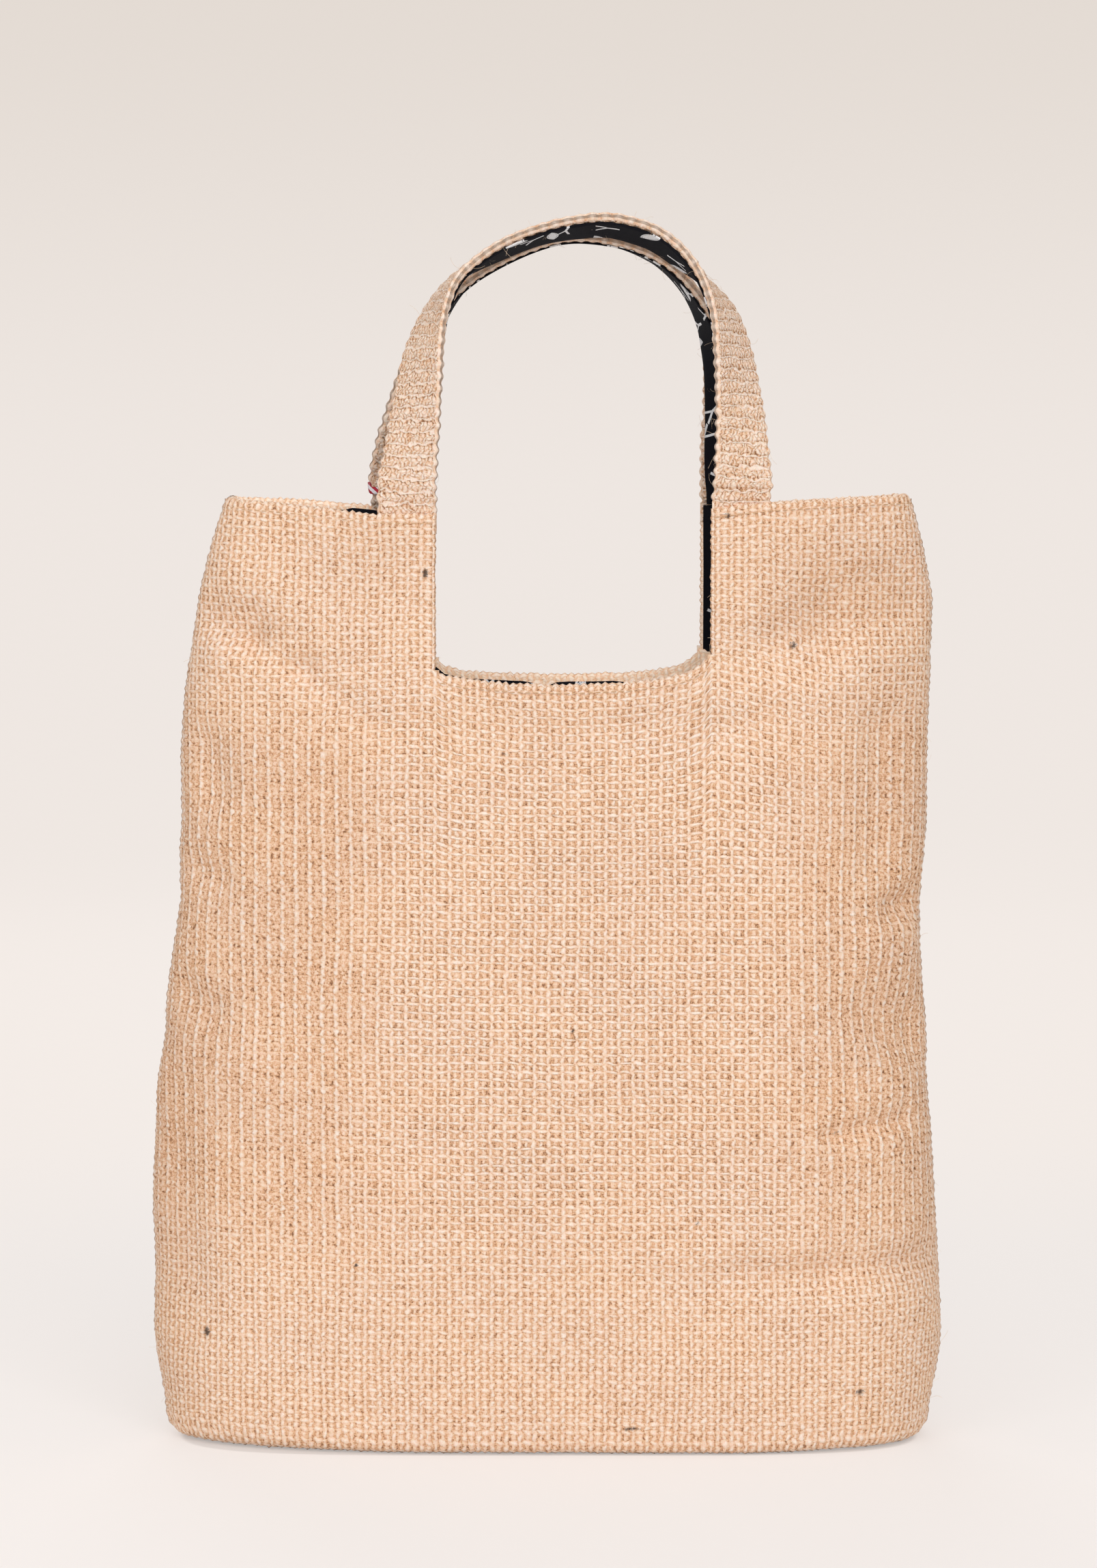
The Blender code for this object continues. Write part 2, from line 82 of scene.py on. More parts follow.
# %% [markdown]
# ## The standing shape
#
# A soft bag has no exact shape, so it is described by a table: how far the two sides reach at each
# height, how deep the bag is there, and how square its corners are. The sizes are the solids' own,
# in millimetres. `s` is a length along the cloth from the line down the middle, and `h` a height
# along it from the turned-under edge, so a yarn can be followed over the surface.

# %% Name the sizes
MIDDLE_X = 11.5        # the line through the middle of the notch
JUTE = 2.6             # thickness of the woven jute
HEM_EXTRA = 2.5        # its second layer, where a hem is folded inside
HEM = 11.5             # height of that layer
GAP = 0.3              # room left between two pieces
COTTON = 1.0           # thickness of the lining
ROLL = 12.0            # radius at which the walls turn under to the base
LIFT = 0.3             # the turned edge stays this far above the floor
LIFT_TURN = 1.5        # the turn, in radians, at which it is lifted fully
BASE_INSET = 2.0       # from the walls' turned edge to the base's own edge
BASE_ENDS = 7.0        # and the base stops this far from the seams
FADE = 22.0            # the creases fade out over this much at the seams and the base
FADE_START = 10.0      # height at which they begin
STRAP_WIDTH = 29.5
STRAP_THICK = 4.6
TAIL_THICK = 2.2       # the straps' ends, pressed flat inside the hem
STRIP_WIDTH = 24.0     # the lining strip on a strap's inner side
STRAP_STATIONS = 50
FOOT_ROWS = [(1.5 - HEM, TAIL_THICK), (-0.8, TAIL_THICK),      # above the rim, thickness
             (0.8, STRAP_THICK), (4.0, STRAP_THICK)]

# At each height z: how far the two sides reach, half the depth, and how square each side is
WALL = {
    "z":      [12, 26, 44, 61, 88, 123, 158, 185, 205, 228, 256, 275, 298, 316,
               350, 385, 405, 429, 455, 472, 484],
    "left":   [-195, -197, -200.5, -201.5, -200.5, -202, -200, -199, -195, -194,
               -190, -186.5, -187.5, -186, -186.5, -184, -180.5, -177, -171,
               -165.5, -161],
    "right":  [194, 196.5, 200, 200.5, 199, 197, 195, 192, 192.5, 190.5, 188.5,
               188.5, 190.5, 192, 192, 193, 193.5, 194.5, 189.5, 185, 181.5],
    "depth":  [60, 62, 62, 61, 60, 59, 58, 57, 56, 55, 54, 53, 52, 51, 49, 46.5,
               45, 43, 41, 40, 39],
    "square_left":  [3.0, 3.0, 3.0, 3.0, 3.0, 2.9, 2.8, 2.7, 2.6, 2.6, 2.5, 2.5,
                     2.4, 2.4, 2.3, 2.2, 2.2, 2.1, 2.0, 2.0, 2.0],
    "square_right": [4.6, 4.6, 4.6, 4.5, 4.4, 4.1, 3.8, 3.5, 3.3, 3.1, 3.0, 2.9,
                     2.8, 2.7, 2.5, 2.4, 2.3, 2.2, 2.1, 2.0, 2.0],
}
print("the outline is given at", len(WALL["z"]), "heights")

# %% [markdown]
# ## Creases
#
# Cloth that stands up by itself sags into soft troughs and ridges. Each is a short line on the
# wall, with a half width and a depth, laid where the photograph shows one. The first table is
# the solids' own. The second adds the narrower wrinkles that a solid doesn't need.

# %% List the creases as x1, z1, x2, z2, half width, how far out or in
FRONT_FOLDS = [
    (-178, 426, -150, 415, 11, -3.0), (-150, 415, -100, 398, 10, -2.6),
    (-160, 442, -118, 422, 11, 1.8), (-165, 399, -142, 401, 10, 1.6),
    (117, 415, 142, 430, 11, -3.0), (142, 430, 176, 447, 11, -3.2),
    (145, 382, 150, 372, 18, 2.0), (34, 358, 103, 362, 12, -1.0),
    (166, 363, 166, 297, 12, -3.6), (176, 273, 190, 276, 10, -4.0),
    (165, 254, 186, 255, 10, 2.0), (163, 222, 187, 213, 15, -3.6),
    (147, 158, 176, 165, 10, -2.6), (93, 94, 140, 91, 10, -2.4),
    (140, 91, 192, 96, 10, -2.8), (125, 76, 185, 74, 14, 1.8),
    (-174, 352, -171, 333, 12, -2.8), (-181, 292, -168, 288, 11, -2.8),
    (-186, 226, -174, 221, 12, -2.8), (-186, 178, -182, 62, 14, -2.6),
    (-153, 195, -148, 186, 17, 2.0), (-40, 250, -30, 200, 45, 1.5),
]
BACK_FOLDS = [
    (-170, 430, -120, 405, 12, -3.0), (170, 440, 128, 408, 12, -3.0),
    (60, 250, 150, 238, 13, -2.4), (-140, 170, -60, 182, 13, -2.2),
    (-176, 300, -172, 240, 14, -3.0), (178, 190, 174, 120, 14, -3.0),
    (-110, 90, -20, 84, 12, -2.0), (20, 330, 40, 300, 35, 1.8),
]
FRONT_WRINKLES = [
    (-178, 419, -150, 406, 6, -2.6), (-150, 406, -122, 391, 6.5, -3.0),
    (-122, 391, -88, 368, 7, -2.4), (-136, 414, -100, 402, 8, 1.7),
    (-166, 398, -140, 386, 9, 0.6), (-72, 452, -86, 440, 14, -1.4),
    (-128, 455, -120, 446, 10, -1.2), (100, 400, 142, 413, 11, -2.6),
    (142, 413, 184, 428, 12, -3.2), (140, 434, 176, 451, 9, 1.8),
    (110, 437, 150, 446, 16, -0.6), (124, 384, 172, 400, 11, 1.4),
    (176, 274, 192, 277, 5, -2.4), (168, 262, 190, 264, 6, 1.4),
    (148, 226, 182, 214, 13, -2.4), (170, 206, 186, 200, 8, -1.6),
    (140, 160, 180, 166, 4.5, -2.2), (138, 153, 176, 157, 5, 1.2),
    (96, 94, 182, 95, 5, -1.8), (-186, 292, -168, 289, 7, -1.8),
    (-188, 232, -172, 222, 9, -2.0), (-190, 150, -184, 90, 11, -1.8),
    (-176, 355, -168, 330, 10, -1.8), (28, 366, 108, 369, 6, -1.1),
]
BACK_WRINKLES = [
    (-166, 428, -126, 408, 6, -1.8), (166, 437, 132, 411, 6, -1.8),
    (70, 249, 140, 240, 6, -1.4), (-130, 171, -70, 181, 6, -1.4),
]

# Each panel's cut-out in the rim, the ends of its strap and its rims, along the cloth
FRONT = {
    "sign": -1, "folds": FRONT_FOLDS, "wrinkles": FRONT_WRINKLES,
    "notch": (-68.2, 69.9), "tails": (-98.2, 101.6),
    "rim": [(-195, 480), (-145, 476.5), (-110, 472.5), (-98, 471.2), (-68, 471),
            (70, 474), (102, 477.5), (145, 480), (195, 482)],
    "cut": [(-68.2, 394), (-65, 391.5), (-54, 389.4), (-28, 387), (0, 386.5),
            (24, 387.5), (45, 389.5), (58, 392.5), (66, 397), (69.9, 402)],
}
BACK = {
    "sign": 1, "folds": BACK_FOLDS, "wrinkles": BACK_WRINKLES,
    "notch": (-70.2, 67.4), "tails": (-104.6, 97.4),
    "rim": [(-195, 480.5), (-145, 479), (-110, 476.5), (-100, 475.5), (-70, 475),
            (67, 475), (97, 477), (145, 479.5), (195, 482)],
    "cut": [(-70.2, 398), (-66, 393), (-55, 390.2), (-28, 389), (0, 388.6),
            (24, 389.3), (45, 391), (58, 394), (65, 399), (67.4, 404)],
}
print(len(FRONT_FOLDS) + len(BACK_FOLDS), "soft creases and",
      len(FRONT_WRINKLES) + len(BACK_WRINKLES), "wrinkles")

# %% [markdown]
# ## The wall as a function
#
# Each level of the bag is a rounded rectangle, drawn by a power of the sine. Walking round it by
# its arc length, not by its angle, keeps the yarns evenly spaced where the cloth turns the corner.
# The functions take whole arrays, because a woven wall has tens of thousands of crossings.

# %% Work out a place on the cloth
HEIGHT_STEP = 2.0
HEIGHTS = np.arange(0.0, 501.0, HEIGHT_STEP)
SMOOTHINGS = 16        # times that the table's corners are rounded
ARC_PARTS = 120        # even steps from the middle to a seam


def ease(value):
    """Goes smoothly from 0 to 1 while value does."""
    value = np.clip(value, 0, 1)
    return value * value * (3 - 2 * value)


def smoothed(values):
    line = np.interp(HEIGHTS, WALL["z"], values)
    for _ in range(SMOOTHINGS):
        padded = np.concatenate([[line[0]], line, [line[-1]]])
        line = (padded[:-2] + 2 * padded[1:-1] + padded[2:]) / 4
    return line


LEFT, RIGHT, DEPTH = (smoothed(WALL[name]) for name in ("left", "right", "depth"))
SQUARE = {-1: smoothed(WALL["square_left"]), 1: smoothed(WALL["square_right"])}
HALF = {-1: MIDDLE_X - LEFT, 1: RIGHT - MIDDLE_X}


def arc_tables(side):
    """For each height, the length from the middle to the seam and the angle on the way."""
    angle = np.linspace(0, math.pi / 2, 2 * ARC_PARTS + 1)
    even = np.linspace(0, 1, ARC_PARTS + 1)
    lengths, angles = [], []
    for half, depth, square in zip(HALF[side], DEPTH, SQUARE[side]):
        x = half * np.sin(angle)
        y = depth * np.sqrt(np.clip(1 - np.sin(angle) ** square, 0, 1))
        run = np.concatenate([[0], np.cumsum(np.hypot(np.diff(x), np.diff(y)))])
        lengths.append(run[-1])
        angles.append(np.interp(even, run / run[-1], angle))
    return np.array(lengths), np.array(angles)


ARC = {side: arc_tables(side) for side in (-1, 1)}


def seam_length(side, z):
    return np.interp(z, HEIGHTS, ARC[side][0]) - GAP / 2


def wall(s, z, sign):
    """Place and outward direction of the wall at s along the cloth and height z."""
    place, out = np.zeros((2,) + np.shape(s) + (3,))
    level = np.clip(z / HEIGHT_STEP, 0, len(HEIGHTS) - 1.001)
    low, part = level.astype(int), level % 1.0
    for side in (-1, 1):
        here = (s < 0) if side < 0 else (s >= 0)
        length, angles = ARC[side]
        share = np.clip(np.abs(s) / np.interp(z, HEIGHTS, length), 0, 1) * ARC_PARTS
        at = np.clip(share.astype(int), 0, ARC_PARTS - 1)
        over = share - at
        rows = [angles[low + k, at] * (1 - over) + angles[low + k, at + 1] * over
                for k in (0, 1)]
        angle = rows[0] * (1 - part) + rows[1] * part
        half, depth, square = (np.interp(z, HEIGHTS, line)
                               for line in (HALF[side], DEPTH, SQUARE[side]))
        t = np.clip(np.sin(angle), 0, 1)
        deep = np.sqrt(np.clip(1 - t ** square, 0, 1))
        nx, ny = square * t ** (square - 1) / half, 2 * deep / depth
        size = np.hypot(nx, ny)
        for target, parts in ((place, (MIDDLE_X + side * half * t, sign * depth * deep, z)),
                              (out, (side * nx / size, sign * ny / size, 0 * z))):
            for axis in range(3):
                target[..., axis] = np.where(here, parts[axis], target[..., axis])
    return place, out


def creases(place, s, z, folds):
    """How far the creases push a point out, less and less towards the seams and the base."""
    push = np.zeros(np.shape(s))
    for x1, z1, x2, z2, width, far in folds:
        along = np.array([x2 - x1, z2 - z1], float)
        share = ((place[..., 0] - x1) * along[0] + (z - z1) * along[1]) / (along @ along)
        share = np.clip(share, 0, 1)
        away = np.hypot(place[..., 0] - x1 - share * along[0], z - z1 - share * along[1])
        push += far * np.exp(-(away / width) ** 2)
    side = np.where(s < 0, seam_length(-1, z), seam_length(1, z)) - np.abs(s)
    return push * ease(side / FADE) * ease((z - FADE_START) / FADE)


def cloth(s, h, panel, inward, fine=False):
    """A point of a panel at s across and row height h, inward from its outer face."""
    s, h = np.broadcast_arrays(np.asarray(s, float), np.asarray(h, float))
    z = np.maximum(h, ROLL)
    place, out = wall(s, z, panel["sign"])
    folds = panel["folds"] + (panel["wrinkles"] if fine else [])
    place = place + out * creases(place, s, z, folds)[..., None]
    turn = (ROLL - np.minimum(h, ROLL)) / ROLL * math.pi / 2
    place = place - out * (ROLL * (1 - np.cos(turn)))[..., None]
    place[..., 2] += LIFT * ease(turn / LIFT_TURN) - ROLL * np.sin(turn)
    facing = out * np.cos(turn)[..., None]
    facing[..., 2] -= np.sin(turn)
    return place - facing * np.asarray(inward)[..., None]


NOISE_SIZE = 64        # the table of random values repeats after this many lumps


def soft_noise(a, b, cell, seed):
    """Smooth random values between -1 and 1, in lumps about cell wide."""
    table = np.random.default_rng(seed).uniform(-1, 1, (NOISE_SIZE, NOISE_SIZE))
    x, y = np.asarray(a, float) / cell, np.asarray(b, float) / cell
    x0, y0 = np.floor(x).astype(int), np.floor(y).astype(int)
    fx, fy = ease(x - x0), ease(y - y0)
    low, high = y0 % NOISE_SIZE, (y0 + 1) % NOISE_SIZE
    rows = [table[(x0 + k) % NOISE_SIZE, low] * (1 - fy) + table[(x0 + k) % NOISE_SIZE, high] * fy
            for k in (0, 1)]
    return rows[0] * (1 - fx) + rows[1] * fx


def lumpy(a, b, table):
    """A sum of soft noises, each given as a size, a width of lump and a seed."""
    return sum(size * soft_noise(a, b, lump, number) for size, lump, number in table)


print("along the cloth, the middle to the seams:", round(float(seam_length(-1, 60))),
      "and", round(float(seam_length(1, 60))), "mm at the foot")

# %% [markdown]
# ## A short way to write materials
#
# A node tree built in Python gets long, because each node has to be made, set and linked. This
# small class gives each step one line, so a formula for the yarns reads almost like arithmetic.

# %% A helper for node trees
class Recipe:
    """A new material and its node tree."""

    def __init__(self, name, roughness, gloss=0.25):
        self.material = bpy.data.materials.new(name)
        self.material.use_nodes = True
        self.tree = self.material.node_tree
        self.shader = self.tree.nodes["Principled BSDF"]
        self.shader.inputs["Roughness"].default_value = roughness
        self.shader.inputs["Specular IOR Level"].default_value = gloss

    def feed(self, socket, value):
        if isinstance(value, bpy.types.NodeSocket):
            self.tree.links.new(value, socket)
        else:
            socket.default_value = value

    def node(self, kind, **settings):
        made = self.tree.nodes.new(kind)
        for name, value in settings.items():
            setattr(made, name, value)
        return made

    def maths(self, operation, *values):
        made = self.node("ShaderNodeMath", operation=operation)
        for socket, value in zip(made.inputs, values):
            self.feed(socket, value)
        return made.outputs[0]

    def times(self, one, two):
        return self.maths("MULTIPLY", one, two)

    def plus(self, one, two):
        return self.maths("ADD", one, two)

    def minus(self, one, two):
        return self.maths("SUBTRACT", one, two)

    def scaled(self, value, factor, add=0.0):
        """value × factor + add."""
        return self.maths("MULTIPLY_ADD", value, factor, add)

    def most(self, first, *others):
        for other in others:
            first = self.maths("MAXIMUM", first, other)
        return first

    def ramp(self, value, start, end, first=0.0, last=1.0):
        """Goes smoothly from first to last while value goes from start to end."""
        made = self.node("ShaderNodeMapRange", interpolation_type="SMOOTHSTEP")
        for socket, number in zip(made.inputs[:5], (value, start, end, first, last)):
            self.feed(socket, number)
        return made.outputs[0]

    def blend(self, share, one, two, kind="MIX"):
        made = self.node("ShaderNodeMix", data_type="RGBA", blend_type=kind)
        for name, value in (("Factor_Float", share), ("A_Color", one), ("B_Color", two)):
            socket = next(x for x in made.inputs if x.identifier == name)
            self.feed(socket, (*value, 1) if isinstance(value, tuple) else value)
        return next(x for x in made.outputs if x.identifier == "Result_Color")

    def noise(self, where, scale, detail=2.0, rough=0.5):
        made = self.node("ShaderNodeTexNoise")
        self.feed(made.inputs["Vector"], where)
        made.inputs["Scale"].default_value = scale
        made.inputs["Detail"].default_value = detail
        made.inputs["Roughness"].default_value = rough
        return made.outputs["Fac"]

    def stretched(self, where, scale, turn=0.0):
        """The same coordinates, scaled by three numbers and turned about their third axis."""
        made = self.node("ShaderNodeMapping")
        self.feed(made.inputs["Vector"], where)
        made.inputs["Scale"].default_value = scale
        made.inputs["Rotation"].default_value = (0, 0, turn)
        return made.outputs[0]

    def uv(self, name):
        return self.node("ShaderNodeUVMap", uv_map=name).outputs[0]

    def parts(self, vector):
        made = self.node("ShaderNodeSeparateXYZ")
        self.feed(made.inputs[0], vector)
        return made.outputs[0], made.outputs[1]

    def joined(self, x, y):
        made = self.node("ShaderNodeCombineXYZ")
        self.feed(made.inputs[0], x)
        self.feed(made.inputs[1], y)
        return made.outputs[0]

    def random(self, x, y):
        made = self.node("ShaderNodeTexWhiteNoise", noise_dimensions="2D")
        self.feed(made.inputs["Vector"], self.joined(x, y))
        return made.outputs["Value"]

    def attribute(self, name):
        return self.node("ShaderNodeAttribute", attribute_name=name).outputs["Fac"]

    def finish(self, colour, height=None, deep=0.0):
        self.feed(self.shader.inputs["Base Color"], colour)
        if height is not None:
            bump = self.node("ShaderNodeBump")
            bump.inputs["Distance"].default_value = deep
            bump.inputs["Strength"].default_value = 1.0
            self.feed(bump.inputs["Height"], height)
            self.feed(self.shader.inputs["Normal"], bump.outputs[0])
        return self.material


print("ready to mix materials")

# %% [markdown]
# ## The jute's colour and yarns
#
# Undyed jute is a warm straw colour. Close up, the weave is a net of pale yarn ends over darker,
# orange-brown squares, where the yarn behind lies in shade. In the middle of the bag every second
# warp stands out as an upright line, and every second weft as a row of short dashes. Near the rim
# and the base it is an even plain weave, with a crossing like a small seed at each step.
#
# Both patterns come from the weave's own coordinates: the UV map counts warps across and wefts
# upwards, so whole numbers are yarn centres. Attributes of the mesh say the rest: `even` is how
# much of the plain weave shows, and `stripe` how far the upright lines stand out alone, where the
# sides are also painted darker as shade. `dull` gives an even darker tone and painted
# shade on folds, `soil` dark husk specks and a painted shadow along the foot, `inside`
# marks the hems' inner faces, which are painted paler and glow, and `edge` the straps' knots.
# No image is needed, and the pattern follows every fold.

# %% Mix the jute
PALE_YARN = (1.0, 0.880, 0.790)
MIDDLE_YARN = (0.92, 0.665, 0.490)
SHADED_YARN = (0.74, 0.430, 0.250)
DEEP_YARN = (0.26, 0.130, 0.070)
TONE_AND_SHADE_YARN = (0.875, 0.835, 0.80)    # what darker places keep of their colour, for an even tone and for painted shade
SPECK_AND_SHADE = (0.050, 0.032, 0.025)
PAINTED_GLOW = (1.0, 0.66, 0.42)         # colour of a glow painted on the hems' inner faces
PAINTED_GLOW_SHARE = 0.24
WHITE = (1.0, 1.0, 1.0)
PINKER = (1.015, 0.985, 1.015)      # each wisp of yarn is one or the other
YELLOWER = (0.985, 1.010, 0.955)
COOLER = (0.985, 0.985, 0.995)      # and so is each patch of cloth
WARMER = (1.01, 1.0, 0.985)
BEADS_PER_WARP = 1.45  # the straps' beads are closer together than the walls' warps
YARN_BUMP = 0.0005     # metres from the lowest yarn to the highest

# Half the width and half the length of a bead of yarn, in warps and rows
TICK = (0.33, 0.72)
OVAL = (0.70, 0.66)
UPRIGHT = (0.38, 0.98)
SMALL = (0.34, 0.60)
LOW = (0.38, 0.46)
LEVEL_YARN = (0.32, 1.0)
EDGE_KNOT = (1.20, 1.0)


def seed(mix, short, long, width, length):
    """A bead of yarn: 1 on its crest, falling to 0 at half its width and half its length."""
    one = mix.maths("POWER", mix.maths("DIVIDE", mix.maths("ABSOLUTE", short), width), 2.0)
    two = mix.maths("POWER", mix.maths("DIVIDE", mix.maths("ABSOLUTE", long), length), 2.0)
    return mix.minus(1.0, mix.plus(one, two))


def from_middle(mix, value, step=1.0, start=0.0):
    """The distance to the nearest of the places start, start + step, and so on."""
    value = mix.minus(value, start)
    whole = mix.maths("ROUND", mix.maths("DIVIDE", value, step))
    return mix.minus(value, mix.times(whole, step))


def open_net(mix, spots, slub, chance, stripe):
    """Every second warp is a line, every second weft a row of dashes, with squares between."""
    on_line, off_line, on_row, off_row = spots
    width, length = mix.scaled(stripe, 0.07, 0.34), mix.scaled(stripe, 0.55, 1.16)
    line = seed(mix, on_line, off_row, width, length)
    twist = mix.most(seed(mix, mix.scaled(on_line, 0.8, on_row), 0.0, 0.34, 1.0), 0.0)
    cut = mix.scaled(twist, -0.28, mix.scaled(chance, 0.3, -0.14))
    line = mix.plus(line, mix.times(stripe, cut))
    thick = mix.scaled(slub, 0.5, 0.43)
    dash = seed(mix, mix.scaled(off_line, 0.12, on_row), off_line, thick, 1.08)
    dash = mix.times(dash, mix.scaled(stripe, -0.80, 1.1))
    bright = mix.times(mix.scaled(chance, 0.75, 0.36), mix.scaled(stripe, -0.45, 1.0))
    tick = mix.times(seed(mix, off_line, off_row, *TICK), bright)
    # The squares sink towards their lower edge and are painted darker there, as shade under the dash
    # above
    square = mix.plus(mix.scaled(off_row, 0.15, -0.02), mix.scaled(stripe, 0.06))
    crossing = mix.most(line, dash, tick)
    return mix.maths("SMOOTH_MAX", crossing, square, 0.12)


def even_weave(mix, spots, chance):
    """Level ovals on every second warp, and upright beads on the others, half a step higher."""
    on_line, off_line, on_row, off_row = spots
    oval = seed(mix, mix.scaled(off_line, 0.30, on_row), off_line, *OVAL)
    upright = seed(mix, mix.scaled(off_row, -0.14, on_line), off_row, *UPRIGHT)
    small = mix.scaled(seed(mix, off_line, off_row, *SMALL), 0.70)
    low = mix.scaled(seed(mix, on_line, on_row, *LOW), 0.70)
    chance = mix.scaled(chance, 0.30, -0.15)
    beads = mix.most(oval, mix.plus(upright, chance))
    return mix.most(beads, mix.most(small, low), 0.02)


def wall_height(mix, across, upward, slub, chance):
    """The walls' weave: an even one or an open one, as the attribute says."""
    spots = (from_middle(mix, across, 2.0), from_middle(mix, across, 2.0, 1.0),
             from_middle(mix, upward, 2.0), from_middle(mix, upward, 2.0, 1.0))
    net = open_net(mix, spots, slub, chance, mix.attribute("stripe"))
    plain = even_weave(mix, spots, chance)
    turned = mix.minus(plain, net)
    return mix.scaled(turned, mix.attribute("even"), net)


def band_height(mix, across, upward, _, chance):
    """The straps' weave: ribs of two rows of beads, and a thin level yarn with a low line below it,
    painted dark as shade.
    """
    above = from_middle(mix, upward, 2.0)
    rib = mix.maths("ROUND", mix.times(upward, 0.5))
    shifted = mix.scaled(rib, 0.37, mix.scaled(across, BEADS_PER_WARP))
    aside = from_middle(mix, shifted)
    other = from_middle(mix, shifted, 1.0, 0.5)
    wide = mix.scaled(chance, 0.10, 0.44)
    upper = mix.minus(above, 0.32)
    lower = mix.plus(above, 0.34)
    upper = seed(mix, mix.scaled(upper, -0.4, aside), upper, wide, 0.52)
    lower = seed(mix, mix.scaled(lower, 0.4, other), lower, wide, 0.50)
    bead = mix.plus(mix.most(upper, lower), mix.scaled(chance, 0.30, -0.15))
    off = from_middle(mix, mix.scaled(aside, 0.10, upward), 2.0, 1.0)
    level = mix.scaled(seed(mix, off, mix.times(aside, 0.5), *LEVEL_YARN), 1.10)
    middle = mix.most(bead, level, 0.02)
    # Below each level yarn a low line is painted dark as shade
    under = mix.most(seed(mix, mix.plus(off, 0.40), 0.0, 0.20, 1.0), 0.0)
    middle = mix.scaled(under, -0.22, middle)
    knot = seed(mix, above, mix.minus(chance, 0.5), *EDGE_KNOT)
    knot = mix.most(knot, 0.30)
    turned = mix.minus(knot, middle)
    return mix.scaled(turned, mix.attribute("edge"), middle)


def mix_jute(name, pattern, unruly=0.85):
    mix = Recipe(name, 0.92)
    weave = mix.uv("weave")
    across, upward = mix.parts(weave)
    # No yarn lies quite where it should
    jitter = mix.minus(mix.noise(mix.stretched(weave, (1, 1, 1), 1.1), 0.9), 0.5)
    bend = mix.minus(mix.noise(mix.stretched(weave, (1, 1, 1), -0.6), 0.8), 0.5)
    across = mix.scaled(jitter, unruly, across)
    upward = mix.scaled(bend, unruly * 1.3, upward)
    # Yarn is thick here and thin there, for a few centimetres at a time
    slub = mix.minus(mix.noise(mix.stretched(weave, (0.09, 0.9, 1)), 1.0, 1.0), 0.5)
    cell = mix.random(mix.maths("ROUND", across), mix.maths("ROUND", upward))
    height = pattern(mix, across, upward, slub, cell)
    # Hairs lie along the yarns, and each crossing has its own brightness
    hairs = mix.noise(mix.stretched(weave, (4.8, 1.5, 1), 0.5), 1.0, 2.0, 0.75)
    wisps = mix.noise(mix.stretched(weave, (1.9, 4.2, 1), -0.45), 1.0, 2.0, 0.75)
    rough = mix.minus(mix.plus(hairs, wisps), 1.0)
    loud = mix.scaled(mix.attribute("stripe"), -0.1, 1.7)
    half = mix.random(mix.maths("FLOOR", across), mix.plus(mix.maths("ROUND", upward), 0.5))
    tone = mix.plus(mix.scaled(half, 0.26, -0.17), mix.scaled(slub, -0.15))
    fleck = mix.noise(mix.stretched(weave, (2.1, 1.2, 1), 0.7), 1.0, 1.0)
    fleck = mix.times(mix.minus(fleck, 0.5), mix.attribute("stripe"))
    level = mix.plus(mix.times(rough, loud), mix.scaled(fleck, 1.5, tone))
    level = mix.scaled(height, 1.12, level)
    # The hems' inner faces are painted paler, as painted light where little light reaches
    level = mix.scaled(mix.attribute("inside"), 0.25, level)
    # The colour follows the height: low places between the yarns are painted dark as shade, and crests
    # pale as a highlight
    dark = mix.blend(mix.ramp(level, -0.45, -0.05), DEEP_YARN, SHADED_YARN)
    middle = mix.blend(mix.ramp(level, -0.05, 0.45), dark, MIDDLE_YARN)
    colour = mix.blend(mix.ramp(level, 0.35, 1.45), middle, PALE_YARN)
    hue = mix.blend(mix.ramp(wisps, 0.38, 0.62), PINKER, YELLOWER)
    colour = mix.blend(1.0, colour, hue, "MULTIPLY")
    clouds = mix.noise(weave, 0.055)
    warm = mix.blend(mix.ramp(clouds, 0.35, 0.65), COOLER, WARMER)
    colour = mix.blend(1.0, colour, warm, "MULTIPLY")
    # Painted shade: the listed soft places on folds and sides, and the sides where the upright lines
    # stand alone, are darkened; elsewhere the yarn only takes an even darker tone
    dull = mix.attribute("dull")
    shade = mix.most(dull, mix.scaled(mix.attribute("stripe"), 0.36, 0.08))
    colour = mix.blend(1.0, colour, mix.blend(shade, WHITE, TONE_AND_SHADE_YARN), "MULTIPLY")
    # Husk is dark, with ragged ends, and the foot has a dark painted shadow
    ragged = mix.scaled(rough, 0.9, mix.attribute("soil"))
    colour = mix.blend(mix.ramp(ragged, 0.30, 0.75, 0.0, 0.9), colour, SPECK_AND_SHADE)
    relief = mix.scaled(rough, 0.42, height)
    # A glow is painted on the hems' inner faces too, as painted light, so they aren't dark
    mix.shader.inputs["Emission Color"].default_value = (*PAINTED_GLOW, 1.0)
    glow = mix.scaled(mix.attribute("inside"), PAINTED_GLOW_SHARE)
    mix.feed(mix.shader.inputs["Emission Strength"], glow)
    # Other surfaces need not look for so faint a glow
    mix.material.cycles.emission_sampling = "NONE"
    return mix.finish(colour, relief, YARN_BUMP)


jute = mix_jute("natural_jute", wall_height)
band_jute = mix_jute("band_jute", band_height, 1.5)
print("mixed", jute.name, "and", band_jute.name)

# %% [markdown]
# ## The lining's print
#
# The lining is a near-black cotton with a pale sprig print. Only a strip of it shows in the
# photograph, so this print is a plain one of the same scale and colours: leaves with dotted edges
# and thin forked twigs, strewn at random angles. A Voronoi texture gives each sprig a cell of
# its own, and a leaf or twig is drawn by a formula in that cell's turned coordinates.

# %% Mix the printed cotton
COTTON_DARK = (0.0062, 0.0062, 0.0098)
COTTON_WORN = (0.0095, 0.0098, 0.0145)
COTTON_PRINT = (0.93, 0.94, 0.96)
LEAF_CELL = 25.0       # millimetres from one leaf to the next
LEAF_SHARE = 0.80      # of the cells have one
TWIG_CELL = 21.0
TWIG_SHARE = 0.80
THREADS = 13.0         # about two threads a millimetre


